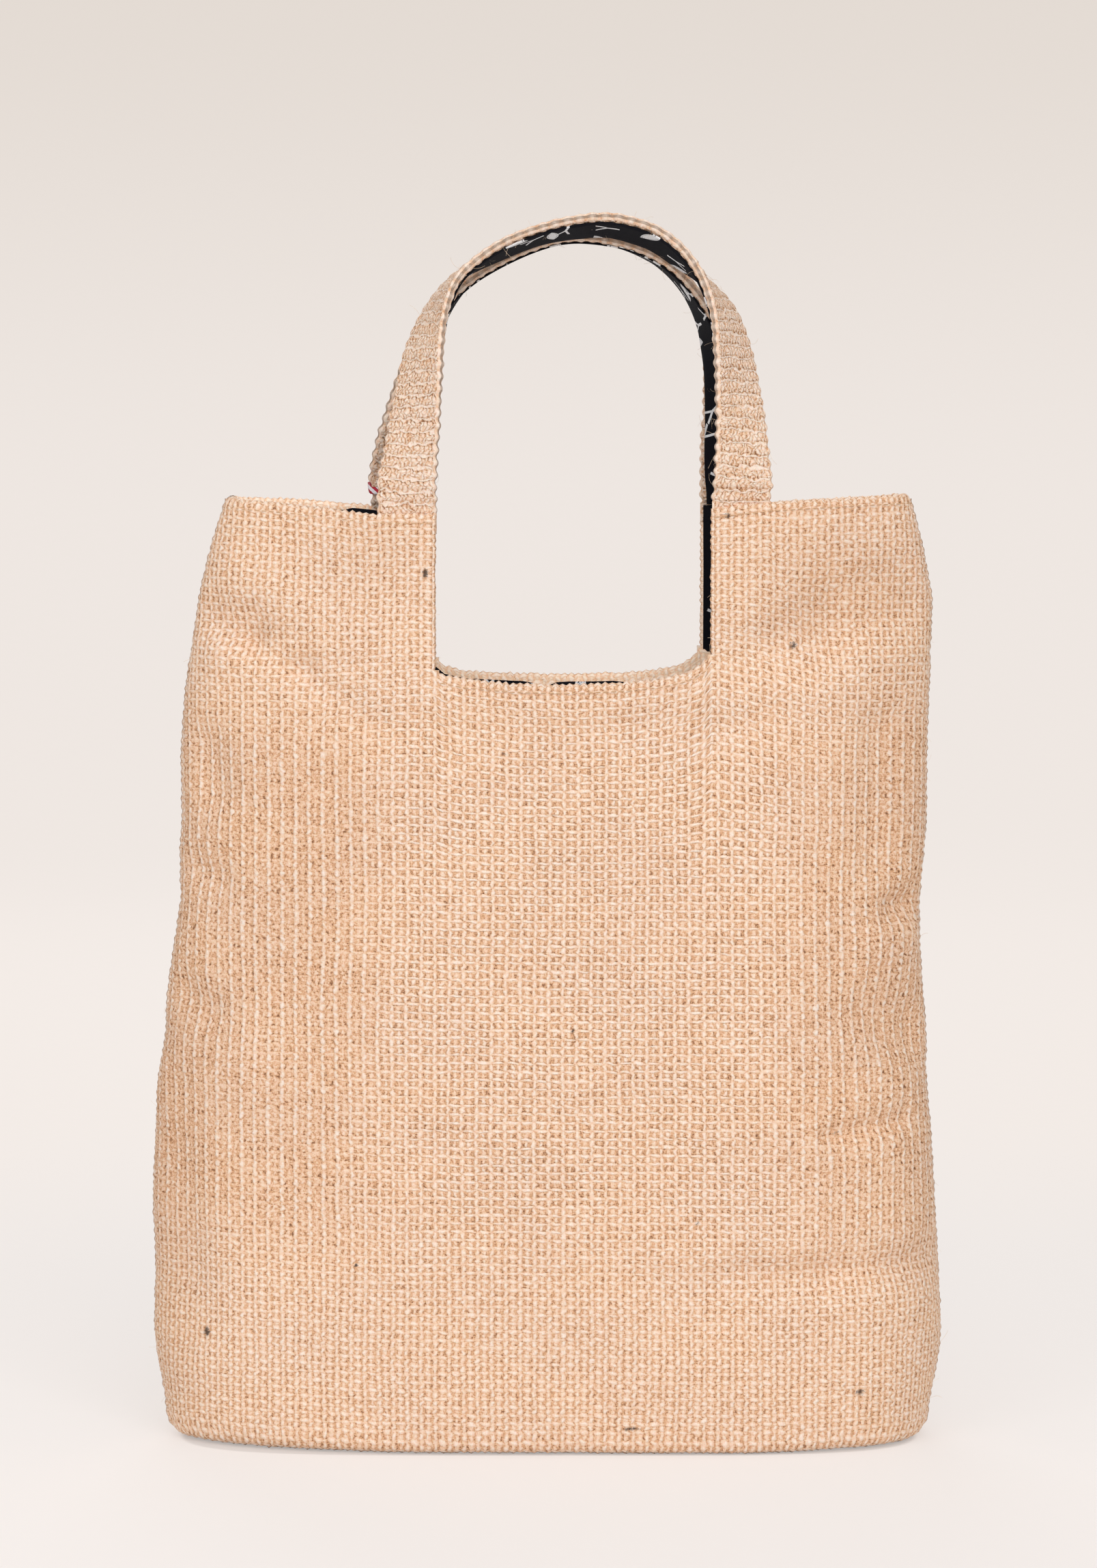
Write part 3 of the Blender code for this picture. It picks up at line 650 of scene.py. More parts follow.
def sprig_place(mix, where, size, offset):
    """Coordinates round the nearest sprig, turned at random, and a random value for it."""
    shifted = mix.node("ShaderNodeMapping")
    mix.feed(shifted.inputs["Vector"], where)
    shifted.inputs["Location"].default_value = (offset, offset * 0.6, 0)
    shifted.inputs["Scale"].default_value = (1 / size, 1 / size, 1)
    cells = mix.node("ShaderNodeTexVoronoi", voronoi_dimensions="2D")
    mix.feed(cells.inputs["Vector"], shifted.outputs[0])
    cells.inputs["Scale"].default_value = 1.0
    cells.inputs["Randomness"].default_value = 0.55
    away = mix.node("ShaderNodeVectorMath", operation="SUBTRACT")
    mix.feed(away.inputs[0], shifted.outputs[0])
    mix.feed(away.inputs[1], cells.outputs["Position"])
    chance, other = mix.parts(cells.outputs["Color"])
    turned = mix.node("ShaderNodeVectorRotate", rotation_type="Z_AXIS")
    mix.feed(turned.inputs["Vector"], away.outputs[0])
    mix.feed(turned.inputs["Angle"], mix.times(chance, 2 * math.pi))
    x, y = mix.parts(turned.outputs[0])
    return x, y, other


def leaf(mix, x, y):
    """A pointed leaf with a line of dark dots inside its edge."""
    reach = mix.minus(1.0, mix.maths("POWER", mix.maths("DIVIDE", x, 0.30), 2.0))
    edge = mix.minus(mix.times(reach, 0.125), mix.maths("ABSOLUTE", y))
    body = mix.ramp(edge, -0.006, 0.006)
    beads = mix.maths("GREATER_THAN", mix.maths("SINE", mix.times(x, 150.0)), 0.55)
    ring = mix.maths("COMPARE", edge, 0.030, 0.010)
    return mix.times(body, mix.minus(1.0, mix.times(beads, ring)))


def twig(mix, x, y):
    """A thin stem that forks towards its tip."""
    spread = mix.times(mix.most(x, 0.0), 0.55)
    off = mix.maths("ABSOLUTE", mix.minus(mix.maths("ABSOLUTE", y), spread))
    line = mix.ramp(off, 0.026, 0.040, 1.0, 0.0)
    ends = mix.maths("LESS_THAN", mix.maths("ABSOLUTE", x), 0.30)
    return mix.times(line, ends)


def mix_print():
    mix = Recipe("printed_cotton", 0.85, 0.12)
    where = mix.uv("weave")
    x, y, chance = sprig_place(mix, where, LEAF_CELL, 0.0)
    leaves = mix.times(leaf(mix, x, y), mix.maths("LESS_THAN", chance, LEAF_SHARE))
    x, y, chance = sprig_place(mix, where, TWIG_CELL, 0.37)
    twigs = mix.times(twig(mix, x, y), mix.maths("LESS_THAN", chance, TWIG_SHARE))
    ink = mix.most(leaves, twigs)
    across, upward = mix.parts(where)
    threads = mix.times(mix.maths("SINE", mix.times(across, THREADS)),
                        mix.maths("SINE", mix.times(upward, THREADS)))
    worn = mix.noise(where, 1.7, 3.0)
    ground = mix.blend(mix.ramp(worn, 0.35, 0.75), COTTON_DARK, COTTON_WORN)
    ink = mix.times(ink, mix.ramp(worn, 0.15, 0.5, 0.75, 1.0))
    colour = mix.blend(ink, ground, COTTON_PRINT)
    return mix.finish(colour, mix.scaled(threads, 0.5, worn), 0.00012)


cotton = mix_print()
print("mixed", cotton.name)

# %% [markdown]
# ## Tape and thread
#
# A short red-and-white tape is wound round the back strap's foot, with slanting stripes about
# 2 mm wide. The hems are sewn with a thread a little darker than the jute, and the stray fibres
# that stand off the yarns are paler and shinier than the cloth.

# %% Mix the tape, the thread and the fibres
STRIPE_TURN = 0.9      # how slanting the stripes are
STRIPES_PER_MM = 0.24
TAPE_RED = (0.47, 0.028, 0.048)
TAPE_WHITE = (0.84, 0.80, 0.84)


def mix_tape():
    mix = Recipe("striped_tape", 0.7)
    where = mix.node("ShaderNodeTexCoord").outputs["Object"]
    spot = mix.node("ShaderNodeSeparateXYZ")
    mix.feed(spot.inputs[0], where)
    # The places are in metres, the stripes in millimetres
    slant = mix.scaled(spot.outputs[0], STRIPE_TURN * 1000, 0.0)
    slant = mix.scaled(spot.outputs[2], 1000.0, slant)
    share = mix.maths("FRACT", mix.times(slant, STRIPES_PER_MM))
    stripe = mix.ramp(mix.maths("PINGPONG", mix.times(share, 2.0), 1.0), 0.44, 0.56)
    fuzz = mix.noise(where, 1800.0)
    colour = mix.blend(stripe, TAPE_RED, TAPE_WHITE)
    return mix.finish(colour, fuzz, 0.0002)


def mix_fibre(name, colour, other, roughness):
    mix = Recipe(name, roughness)
    where = mix.node("ShaderNodeTexCoord").outputs["Object"]
    return mix.finish(mix.blend(mix.noise(where, 900.0), colour, other))


tape = mix_tape()
thread = mix_fibre("hem_thread", (0.50, 0.29, 0.15), (0.76, 0.52, 0.33), 0.8)
fibre = mix_fibre("stray_fibre", (0.93, 0.76, 0.58), (0.80, 0.58, 0.38), 0.6)
print("mixed", tape.name, thread.name, fibre.name)

# %% [markdown]
# ## Turning arrays into pieces
#
# Everything below is worked out in millimetres as arrays of points. One function makes the mesh,
# with the weave's coordinates as a UV map, and says which solids the piece stands for.

# %% A helper for pieces
def make_piece(name, points, faces, finish, weave=None, **values):
    mesh = bpy.data.meshes.new(name)
    mesh.from_pydata((np.asarray(points) * 0.001).tolist(), [], faces)
    corners = np.zeros(len(mesh.loops), int)
    mesh.loops.foreach_get("vertex_index", corners)
    if weave is not None:
        layer = mesh.uv_layers.new(name="weave")
        layer.data.foreach_set("uv", np.asarray(weave, float)[corners].ravel())
    for label, numbers in values.items():
        layer = mesh.attributes.new(label, "FLOAT", "POINT")
        layer.data.foreach_set("value", np.full(len(mesh.vertices), numbers, float))
    shape = bmesh.new()
    shape.from_mesh(mesh)
    bmesh.ops.remove_doubles(shape, verts=shape.verts, dist=2e-5)
    bmesh.ops.dissolve_degenerate(shape, edges=shape.edges, dist=1e-6)
    shape.to_mesh(mesh)
    shape.free()
    mesh.shade_smooth()
    mesh.materials.append(finish)
    piece = bpy.data.objects.new(name, mesh)
    bpy.context.scene.collection.objects.link(piece)
    return piece


def sheet_cells(keep):
    """Cells between the points of a grid, row by row, where keep is true."""
    width = keep.shape[1] + 1
    cells = []
    for r, c in zip(*np.nonzero(keep)):
        a = int(r * width + c)
        b = a + width
        cells.append([a, a + 1, b + 1, b])
    return cells


def faced_outwards(piece):
    """A closed mesh whose signed volume is negative is inside out."""
    shape = bmesh.new()
    shape.from_mesh(piece.data)
    if shape.calc_volume(signed=True) < 0:
        bmesh.ops.reverse_faces(shape, faces=shape.faces)
        shape.to_mesh(piece.data)
    shape.free()
    return piece


def stands_for(piece, slot, *nodes):
    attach(piece, "root")
    if nodes:
        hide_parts(*nodes)
    print(piece.name, "has", len(piece.data.polygons), "faces")
    return piece


print("ready to make pieces")

# %% [markdown]
# ## Weaving a wall
#
# The front and back are each one sheet. A grid follows the yarns: two columns of points for
# each warp, 3.5 mm apart, and one row for each weft, about 2.1 mm apart. The notch is 39 warps wide,
# so that its sides fall on a warp. Points on a yarn that passes over stand out by about half a
# millimetre, and those in the gaps lie back, so even the outline is knobbly.
#
# The rows bend a little towards the cut-out, as cloth does when straps pull on it.

# %% Lay out the grid of a wall
WARPS_IN_NOTCH = 39
WEFT = 2.1             # height of a row
CUT_ROW = 185          # the row that ends at the cut-out
RIM_ROW = 225          # and the one that ends at the rim
BEND_FROM = 260.0      # height above which the rows bend
BEND_FADE = 70.0       # and how far to the side of the cut-out they do
SIDE_ROUND = 1.3       # radius of a single turned edge
HEM_ROUND = 2.55       # and of a folded hem
PRESSED = 0.7          # how far the two walls are pressed together at the side seams
EDGE_KNOB = 0.30       # how far yarn ends stand out along the edges
KNOB_SPREAD = 0.7      # how unlike one another they are, as a share of that
KNOB_BESIDE = 0.8      # and the share of it at the sides of the cut-out
GROOVE_AT = 9.6        # a groove and a roll of jute run along the foot
GROOVE_DEEP = -0.8
GROOVE_WIDE = 1.7
ROLL_AT = 5.4
ROLL_OUT = 0.5
ROLL_WIDE = 2.6
SWAY = [(0.8, 55, 61), (0.35, 16, 62)]     # yarns wander sideways: size, lump and seed
DRIFT = [(0.7, 48, 63), (0.30, 14, 64)]    # and upwards
FREE_ROWS = 6          # rows from an edge over which they begin to
FREE_BESIDE = 9        # and how far beside the cut-out
PITCH = np.array([3.54, WEFT])    # width of a warp and height of a weft


def edge_round(panel, s):
    """Radius of the rim's fold: thin in front of the straps' feet, where nothing is folded."""
    low, high = panel["tails"]
    inside = ease((s - low + 1) / 2) * ease((high + 1 - s) / 2)
    return HEM_ROUND + (SIDE_ROUND - HEM_ROUND) * inside


def edge_at(panel, edge, s):
    """Height of a wall's rim or cut-out."""
    return np.interp(s, *zip(*panel[edge]))


def wall_grid(panel):
    """s, h and the weave's coordinates of each grid point, and the notch's first column."""
    low, high = panel["notch"]
    step = (high - low) / WARPS_IN_NOTCH / 2
    reach = {side: float(ARC[side][0].max()) for side in (-1, 1)}
    first = math.ceil((reach[-1] + low) / step)
    last = first + 2 * WARPS_IN_NOTCH
    columns = last + math.ceil((reach[1] - high) / step)
    s = low + (np.arange(columns + 1) - first) * step
    row = np.arange(RIM_ROW + 1)
    cut = edge_at(panel, "cut", s) - HEM_ROUND
    beside = np.maximum(np.maximum(low - s, s - high), 0)
    at_cut = CUT_ROW * WEFT + (cut - CUT_ROW * WEFT) * (1 - ease(beside / BEND_FADE))
    rim = edge_at(panel, "rim", s) - edge_round(panel, s)
    plain = row[:, None] * WEFT
    bend = ease((plain - BEND_FROM) / (CUT_ROW * WEFT - BEND_FROM))
    below = plain + (at_cut - CUT_ROW * WEFT) * bend
    above = at_cut + (rim - at_cut) * (row[:, None] - CUT_ROW) / (RIM_ROW - CUT_ROW)
    h = np.where(row[:, None] <= CUT_ROW, below, above)
    s = np.repeat(s[None], len(row), axis=0)
    s[CUT_ROW + 1:, first] = low - SIDE_ROUND
    s[CUT_ROW + 1:, last] = high + SIDE_ROUND
    z = np.maximum(h, ROLL)
    # No yarn is quite straight, but the edges stay where they are
    free = ease((np.minimum(row, RIM_ROW - row)[:, None] - 1) / FREE_ROWS)
    free = free * ease((np.abs(row - CUT_ROW)[:, None] + beside[None] - 1) / FREE_BESIDE)
    free = free * ease((np.minimum(np.abs(s - low), np.abs(s - high)) - 1) / FREE_BESIDE)
    s = s + free * lumpy(s, h, SWAY)
    h = h + free * lumpy(s, h, DRIFT)
    left_end = SIDE_ROUND - PRESSED - seam_length(-1, z)
    right_end = seam_length(1, z) + PRESSED - SIDE_ROUND
    s = np.clip(s, left_end, right_end)
    # Warps that reach the seam end there, so the columns past it share one point
    free_left = (s <= left_end).sum(axis=1) - 1
    free_right = columns + 1 - (s >= right_end).sum(axis=1)
    ends = np.clip(np.arange(columns + 1)[None], np.maximum(free_left, 0)[:, None],
                   np.minimum(free_right, columns)[:, None])
    across = np.repeat((np.arange(columns + 1)[None] - first) / 2, len(row), axis=0)
    upward = np.repeat(row[:, None].astype(float), columns + 1, axis=1)
    # Each yarn end makes a small knob in the outline
    rng = np.random.default_rng(77 + panel["sign"])
    spread = EDGE_KNOB * KNOB_SPREAD
    knob = np.where(across[0] % 1.0 == 0, EDGE_KNOB, -EDGE_KNOB)
    knob = knob + rng.normal(0, spread, columns + 1)
    h[RIM_ROW] += knob
    h[CUT_ROW, first + 1:last] += knob[first + 1:last]
    beads = np.cos(math.pi * row) * EDGE_KNOB + rng.normal(0, spread, len(row))
    s[CUT_ROW + 1:, first] -= beads[CUT_ROW + 1:] * KNOB_BESIDE
    s[CUT_ROW + 1:, last] += beads[CUT_ROW + 1:] * KNOB_BESIDE
    return s, h, across, upward, first, ends


EVEN_LEAST = 0.12      # the plain weave's share in the middle of a wall
EVEN_TOP = (0.50, 330)     # what the rim adds, and from which height up
EVEN_FOOT = (0.75, 150)    # what the foot adds, and from which height down
EVEN_OVER = 110        # and over what height each grows
EVEN_PATCHES = [(0.10, 34, 3), (0.14, 9, 4)]
STRIPES_MIDDLE = 5     # the upright lines leave out the middle
STRIPES_PAST = 76      # up to this far from it,
STRIPES_OVER = 58      # and grow over this much more
STRIPES_LOW = 70       # they begin above this height
STRIPES_HIGH = 400     # and end below this one
STRIPES_FADE = 60
STRIPES_PATCHES = [(0.30, 26, 14)]


def evenness(s, h):
    """How far the plain weave shows: near the rim and the base, and in patches."""
    top = EVEN_TOP[0] * ease((h - EVEN_TOP[1]) / EVEN_OVER)
    foot = EVEN_FOOT[0] * ease((EVEN_FOOT[1] - h) / EVEN_OVER)
    return np.clip(EVEN_LEAST + top + foot + lumpy(s, h, EVEN_PATCHES), 0, 1)


def stripes(s, h):
    """How far the upright lines stand out alone: towards the sides, above the foot."""
    side = ease((np.abs(s - STRIPES_MIDDLE) - STRIPES_PAST) / STRIPES_OVER)
    low = ease((h - STRIPES_LOW) / STRIPES_FADE)
    high = ease((STRIPES_HIGH - h) / STRIPES_FADE)
    return np.clip((side + lumpy(s, h, STRIPES_PATCHES)) * low * high, 0, 1)


SOILED = {  # x, z, half width, half height: dark bits of husk in the yarn
    -1: [(41.5, 14.0, 5.2, 0.9), (156.5, 31.0, 2.4, 1.4), (-172.5, 59.0, 1.6, 2.6),
         (122.5, 405.5, 1.9, 1.6), (144.5, 160.5, 3.2, 0.9), (89.5, 470.5, 1.8, 1.4),
         (-61.5, 441.5, 1.5, 2.6), (-22.0, 352.0, 1.0, 0.9), (60.0, 298.0, 1.2, 0.8),
         (-128.0, 300.5, 1.3, 0.8), (12.0, 214.0, 0.9, 0.9), (-52.0, 156.0, 1.1, 0.7),
         (98.0, 236.0, 0.9, 1.0), (-96.0, 96.0, 1.1, 0.8), (74.0, 118.0, 1.0, 0.8)],
    1: [(-80.0, 330.0, 2.0, 1.2), (46.0, 210.0, 1.2, 1.6), (120.0, 96.0, 3.0, 0.9),
        (-130.0, 150.0, 1.1, 1.0), (10.0, 60.0, 1.0, 0.8), (95.0, 420.0, 1.3, 1.2)],
}
FOOT_DARK = 2.4        # height of the painted shadow along the foot
FOOT_SHADE = 0.62       # and how dark it is


def soil(place, sign):
    """How dark a point is with husk, and with a painted shadow along the foot, from 0 to 1."""
    most = np.zeros(place.shape[:-1])
    for x, z, wide, tall in SOILED[sign]:
        away = ((place[..., 0] - x) / wide) ** 2 + ((place[..., 2] - z) / tall) ** 2
        most = np.maximum(most, np.exp(-away / 1.3))
    foot_shade = FOOT_SHADE * np.exp(-(place[..., 2] / FOOT_DARK) ** 2)
    return np.maximum(np.where(place[..., 1] * sign > 0, most, 0), foot_shade)


PAINTED_SHADE = {  # x, z, half width, half height, share: soft places painted darker, as shade on folds and turned-away sides
    -1: [(176, 335, 18, 62, 0.75), (186, 272, 22, 12, 0.35), (170, 222, 28, 34, 0.60),
         (186, 130, 20, 60, 0.5), (150, 440, 46, 32, 0.9), (-86, 455, 22, 22, 0.4),
         (-188, 330, 18, 60, 0.5), (-192, 120, 18, 110, 0.75), (-180, 220, 20, 50, 0.35),
         (-166, 425, 13, 5, 0.5), (-144, 412, 13, 5, 0.55), (-122, 399, 13, 5, 0.55),
         (-100, 385, 12, 5, 0.4), (120, 415, 22, 7, 0.4), (158, 428, 26, 8, 0.5),
         (120, 95, 70, 5, 0.4), (-40, 370, 150, 8, 0.25), (0, 55, 150, 75, 0.20),
         (-130, 440, 40, 30, 0.22)],
    1: [(-170, 430, 40, 26, 0.5), (170, 230, 26, 90, 0.5), (-184, 150, 22, 100, 0.6)],
}
DULL_LEAST = 0.12      # the share everywhere else


def dullness(place, sign):
    """How much darker a point of the cloth is, from 0 to 1: an even tone, and painted shade in the
    listed places.
    """
    total = np.full(place.shape[:-1], DULL_LEAST)
    for x, z, wide, tall, share in PAINTED_SHADE[sign]:
        away = ((place[..., 0] - x) / wide) ** 2 + ((place[..., 2] - z) / tall) ** 2
        total += share * np.exp(-away)
    return np.clip(total, 0, 1)


# How far yarns stand out, in millimetres
LINE_OUT = 0.42        # open net: the warps that make the upright lines,
DASH_OUT = 0.45        # the wefts that pass over the others,
UNDER_OUT = 0.10       # and where those others pass over
BRIDGE_OUT = 0.30      # a weft between two warps
HOLE_OUT = -0.55       # and the hole above it
OVER_OUT = 0.42        # plain weave: a warp over a weft,
BELOW_OUT = 0.05       # a weft over a warp
DIMPLE_OUT = -0.30     # and between the warps
YARN_UNEVEN = 0.12     # at random, from point to point
SLUB_OUT = 0.16        # and along a yarn that is thicker for a while
SLUB_LUMP = 9
SLUB_THIN = 6          # a slub is this many times as long as wide
BILLOW = 0.55          # and the whole cloth waves by this much
BILLOW_LUMP = 46


def relief(across, upward, even, seed):
    """How far each point stands out, in millimetres, from which yarn passes over there."""
    on_warp = across % 1.0 == 0
    warp, weft = np.round(across), np.round(upward)
    net = np.where(warp % 2 == 0, LINE_OUT, np.where(weft % 2 == 0, DASH_OUT, UNDER_OUT))
    net = np.where(on_warp, net, np.where(weft % 2 == 0, BRIDGE_OUT, HOLE_OUT))
    plain = np.where((warp + weft) % 2 == 0, OVER_OUT, BELOW_OUT)
    plain = np.where(on_warp, plain, DIMPLE_OUT)
    random = np.random.default_rng(seed).normal(0, YARN_UNEVEN, across.shape)
    slubs = (SLUB_OUT * soft_noise(across * SLUB_THIN, upward, SLUB_LUMP, seed)
             + SLUB_OUT * soft_noise(across, upward * SLUB_THIN, SLUB_LUMP, seed + 1))
    return net + (plain - net) * even + random + slubs


print("a row of yarn is", WEFT, "mm high")

# %% [markdown]
# The edges are where a flat sheet gives itself away. On the bag, the rim and the cut-out are
# hems, so the cloth goes over a round of 5 mm and down inside. The grid's whole border is walked
# in one loop, and at each point a half circle is swept from the outer face to the inner one.

# %% Turn the edges over
FOLD_STEPS = 6         # steps of the half circle
INSIDE_DOWN = (2.0, 5.0, 8.0)    # and where the rows of the inner face are


def border(first, columns):
    """The grid's border in order, as row, column and the way out along the cloth."""
    last = first + 2 * WARPS_IN_NOTCH
    runs = [
        ([(0, c) for c in range(columns + 1)], (0, 0)),
        ([(r, columns) for r in range(RIM_ROW + 1)], (1, 0)),
        ([(RIM_ROW, c) for c in range(columns, last - 1, -1)], (0, 1)),
        ([(r, last) for r in range(RIM_ROW, CUT_ROW - 1, -1)], (-1, 0)),
        ([(CUT_ROW, c) for c in range(last, first - 1, -1)], (0, 1)),
        ([(r, first) for r in range(CUT_ROW, RIM_ROW + 1)], (1, 0)),
        ([(RIM_ROW, c) for c in range(first, -1, -1)], (0, 1)),
        ([(r, 0) for r in range(RIM_ROW, -1, -1)], (-1, 0)),
    ]
    loop = {}
    for places, way in runs:
        for place in places:
            loop.setdefault(place, []).append(way)
    order = list(loop)
    ways = np.array([np.sum(loop[place], axis=0) for place in order], float)
    size = np.maximum(np.hypot(*ways.T), 1)
    return np.array(order), ways / size[:, None]


def woven_wall(name, panel, seed):
    s, h, across, upward, first, ends = wall_grid(panel)
    rows, columns = s.shape[0] - 1, s.shape[1] - 1
    last = first + 2 * WARPS_IN_NOTCH
    even = evenness(s, h)
    out = relief(across, upward, even, seed)
    out += BILLOW * soft_noise(s, h, BILLOW_LUMP, seed + 5)
    # A groove and a roll of jute run along the foot, where the base is sewn in
    out += GROOVE_DEEP * np.exp(-((h - GROOVE_AT) / GROOVE_WIDE) ** 2)
    out += ROLL_OUT * np.exp(-((h - ROLL_AT) / ROLL_WIDE) ** 2)
    s, h, out = (np.take_along_axis(grid, ends, axis=1) for grid in (s, h, out))
    points = [cloth(s, h, panel, -out, fine=True).reshape(-1, 3)]
    weave = [np.stack([across, upward], axis=-1).reshape(-1, 2)]
    evens = [even.reshape(-1)]
    inner = [np.zeros(even.size)]
    striped = stripes(s, h).reshape(-1)
    keep = np.ones((rows, columns), bool)
    keep[CUT_ROW:, first:last] = False
    cells = sheet_cells(keep)
    order, ways = border(first, columns)
    at = order[:, 0] * (columns + 1) + order[:, 1]
    edge_s, edge_h = s.reshape(-1)[at], h.reshape(-1)[at]
    edge_out, edge_weave = out.reshape(-1)[at], weave[0][at]
    hem = (ways[:, 1] > 0) & (order[:, 0] == RIM_ROW)
    radius = np.where(hem, edge_round(panel, edge_s), SIDE_ROUND)
    radius = np.where((order[:, 0] == CUT_ROW) & (ways[:, 1] > 0), HEM_ROUND, radius)
    previous = at
    total = len(points[0])
    turns = [(math.pi * k / FOLD_STEPS, 0.0) for k in range(1, FOLD_STEPS + 1)]
    turns += [(math.pi, down) for down in INSIDE_DOWN]
    for turn, down in turns:
        # The yarns' relief fades out on the way round
        push = edge_out * (0.5 + 0.5 * math.cos(turn))
        along = radius * math.sin(turn) + push * math.sin(turn) - down
        deep = radius * (1 - math.cos(turn)) - push * math.cos(turn)
        out_s, out_h = edge_s + ways[:, 0] * along, edge_h + ways[:, 1] * along
        points.append(cloth(out_s, out_h, panel, deep, fine=True))
        swept = (radius * turn + down)[:, None] * ways / PITCH
        weave.append(edge_weave + swept)
        evens.append(np.ones(len(at)))
        inner.append(np.full(len(at), max(0.0, -math.cos(turn))))
        current = np.arange(len(at)) + total
        total += len(at)
        cells += zip(np.roll(previous, -1), previous, current, np.roll(current, -1))
        previous = current
    if panel["sign"] > 0:
        cells = [cell[::-1] for cell in cells]
    cells = [[int(v) for v in cell] for cell in cells]
    points = np.concatenate(points)
    points[:, 2] = np.maximum(points[:, 2], 0)
    return make_piece(name, points, cells, jute, np.concatenate(weave),
                      even=np.concatenate(evens), inside=np.concatenate(inner),
                      soil=soil(points, panel["sign"]), dull=dullness(points, panel["sign"]),
                      stripe=np.pad(striped, (0, len(points) - len(striped))))


front_weave = stands_for(woven_wall("front_weave", FRONT, 11), "jute", "front_panel")
back_weave = stands_for(woven_wall("back_weave", BACK, 23), "jute", "back_panel")

# %% [markdown]
# Where the two walls meet, a row of yarn loops stands up a little along each side. It is a thin
# cord whose thickness swells and shrinks from loop to loop.

# %% Close the side seams
SEAM_LOW = 5.5
SEAM_HIGH = 479.5
SEAM_STEP = 1.05
SEAM_RADIUS = 1.35
SEAM_SWELL = 0.30      # how much thicker and thinner it gets
SEAM_INSET = 0.45      # its middle lies this far inside the edge
SEAM_LOOP = 4.2        # millimetres from one loop to the next
SEAM_TWIST = 1.55      # and from one yarn of it to the next
SEAM_SIDES = 7


def seam_cord(name, side, seed):
    h = np.arange(SEAM_LOW, SEAM_HIGH, SEAM_STEP)
    s = side * seam_length(side, np.maximum(h, ROLL))
    middle = (cloth(s, h, FRONT, 0 * h) + cloth(s, h, BACK, 0 * h)) / 2
    middle[:, 0] -= side * SEAM_INSET
    wave = np.cos(2 * math.pi * h / SEAM_LOOP + 2.0 * soft_noise(h, 0 * h, 17, seed))
    radius = SEAM_RADIUS + SEAM_SWELL * wave + SEAM_SWELL * soft_noise(h, 0 * h, 3.3, seed + 1)
    points, weave = [], []
    for k in range(SEAM_SIDES):
        a = 2 * math.pi * k / SEAM_SIDES
        shift = np.column_stack([side * math.cos(a) * radius, math.sin(a) * radius * 1.1, 0 * h])
        points.append(middle + shift)
        weave.append(np.column_stack([np.full(len(h), 0.5 * k), h / SEAM_TWIST]))
    rows = len(h)
    cells = []
    for k in range(SEAM_SIDES):
        a, b = k * rows, ((k + 1) % SEAM_SIDES) * rows
        cells += [[a + r, b + r, b + r + 1, a + r + 1] for r in range(rows - 1)]
    cells.append([k * rows for k in range(SEAM_SIDES)])
    cells.append([k * rows + rows - 1 for k in range(SEAM_SIDES)][::-1])
    points = np.concatenate(points)
    return faced_outwards(make_piece(name, points, cells, jute, np.concatenate(weave),
                                     even=1.0, soil=0.0, stripe=0.0))


for label, side in (("left", -1), ("right", 1)):
    stands_for(seam_cord(label + "_seam_loops", side, 90 + side), "jute")

# %% [markdown]
# ## The straps
#
# Each strap is a narrow woven band, about 30 mm wide and 4.6 mm thick. Its weft turns back at
# each edge, which makes a row of knots there, 6 mm apart, and ribs across it.
# The band is carried along a smooth curve through listed places, turning from facing
# ahead at its feet to lying flat at the top.

# %% Follow the straps' paths
FRONT_STRAP = [  # x, y, z, turn
    (-56.6, -33.6, 486, 12), (-55.8, -32.8, 496, 20), (-54.9, -31.4, 514, 30),
    (-53.9, -29.5, 536, 41), (-53.1, -27.8, 556, 52), (-50.8, -26.2, 574, 68),
    (-44.0, -25.0, 590.5, 84), (-26.1, -24.0, 605.4, 97), (-7.0, -24.0, 613.7, 99),
    (11.8, -24.0, 618.5, 102), (30.6, -24.0, 620.2, 104), (49.4, -24.0, 616.0, 105),
    (60.2, -24.0, 610.3, 104), (69.4, -24.2, 601.5, 100), (76.2, -25.0, 590.5, 86),
    (81.2, -26.4, 576, 68), (83.2, -27.6, 560, 55), (84.0, -29.4, 538, 43),
    (84.0, -31.0, 516, 31), (83.4, -32.8, 498, 20), (83.0, -33.6, 488, 12),
]
BACK_STRAP = [
    (-92.0, 30.0, 489, 11), (-90.0, 24.6, 502, 21), (-85.4, 18.6, 517, 34),
    (-78.0, 13.6, 538, 48), (-70.0, 9.8, 556, 64), (-60.4, 7.4, 571, 80),
    (-46.6, 6.6, 584.4, 92), (-32.4, 6.5, 594.6, 97), (-13.0, 6.5, 604.4, 98),
    (5.0, 6.5, 610.2, 98), (21.0, 6.5, 611.0, 96), (40.3, 6.5, 607.8, 93),
    (57.8, 6.5, 600.2, 90), (71.6, 6.6, 588.6, 86), (81.4, 7.0, 576.0, 80),
    (89.6, 7.6, 562.5, 70), (96.8, 9.6, 545, 58), (102.0, 13.2, 528, 44),
    (105.2, 18.6, 509, 30), (107.2, 27.6, 490, 13),
]


SPLINE_STEPS = 24      # between two rows, before the places are made even


def spline(rows, count):
    """Even places along a smooth curve through the rows."""
    rows = np.array(rows, float)
    padded = np.vstack([2 * rows[0] - rows[1], rows, 2 * rows[-1] - rows[-2]])
    fine = []
    for k in range(1, len(rows)):
        a, b, c, d = padded[k - 1:k + 3]
        for t in np.linspace(0, 1, SPLINE_STEPS, endpoint=False):
            fine.append(0.5 * (2 * b + (c - a) * t + (2 * a - 5 * b + 4 * c - d) * t * t
                               + (3 * b - a - 3 * c + d) * t ** 3))
    fine = np.array(fine + [rows[-1]])
    run = np.concatenate([[0], np.cumsum(np.linalg.norm(np.diff(fine[:, :3], axis=0), axis=1))])
    even = np.linspace(0, run[-1], count)
    return np.column_stack([np.interp(even, run, fine[:, k]) for k in range(fine.shape[1])])


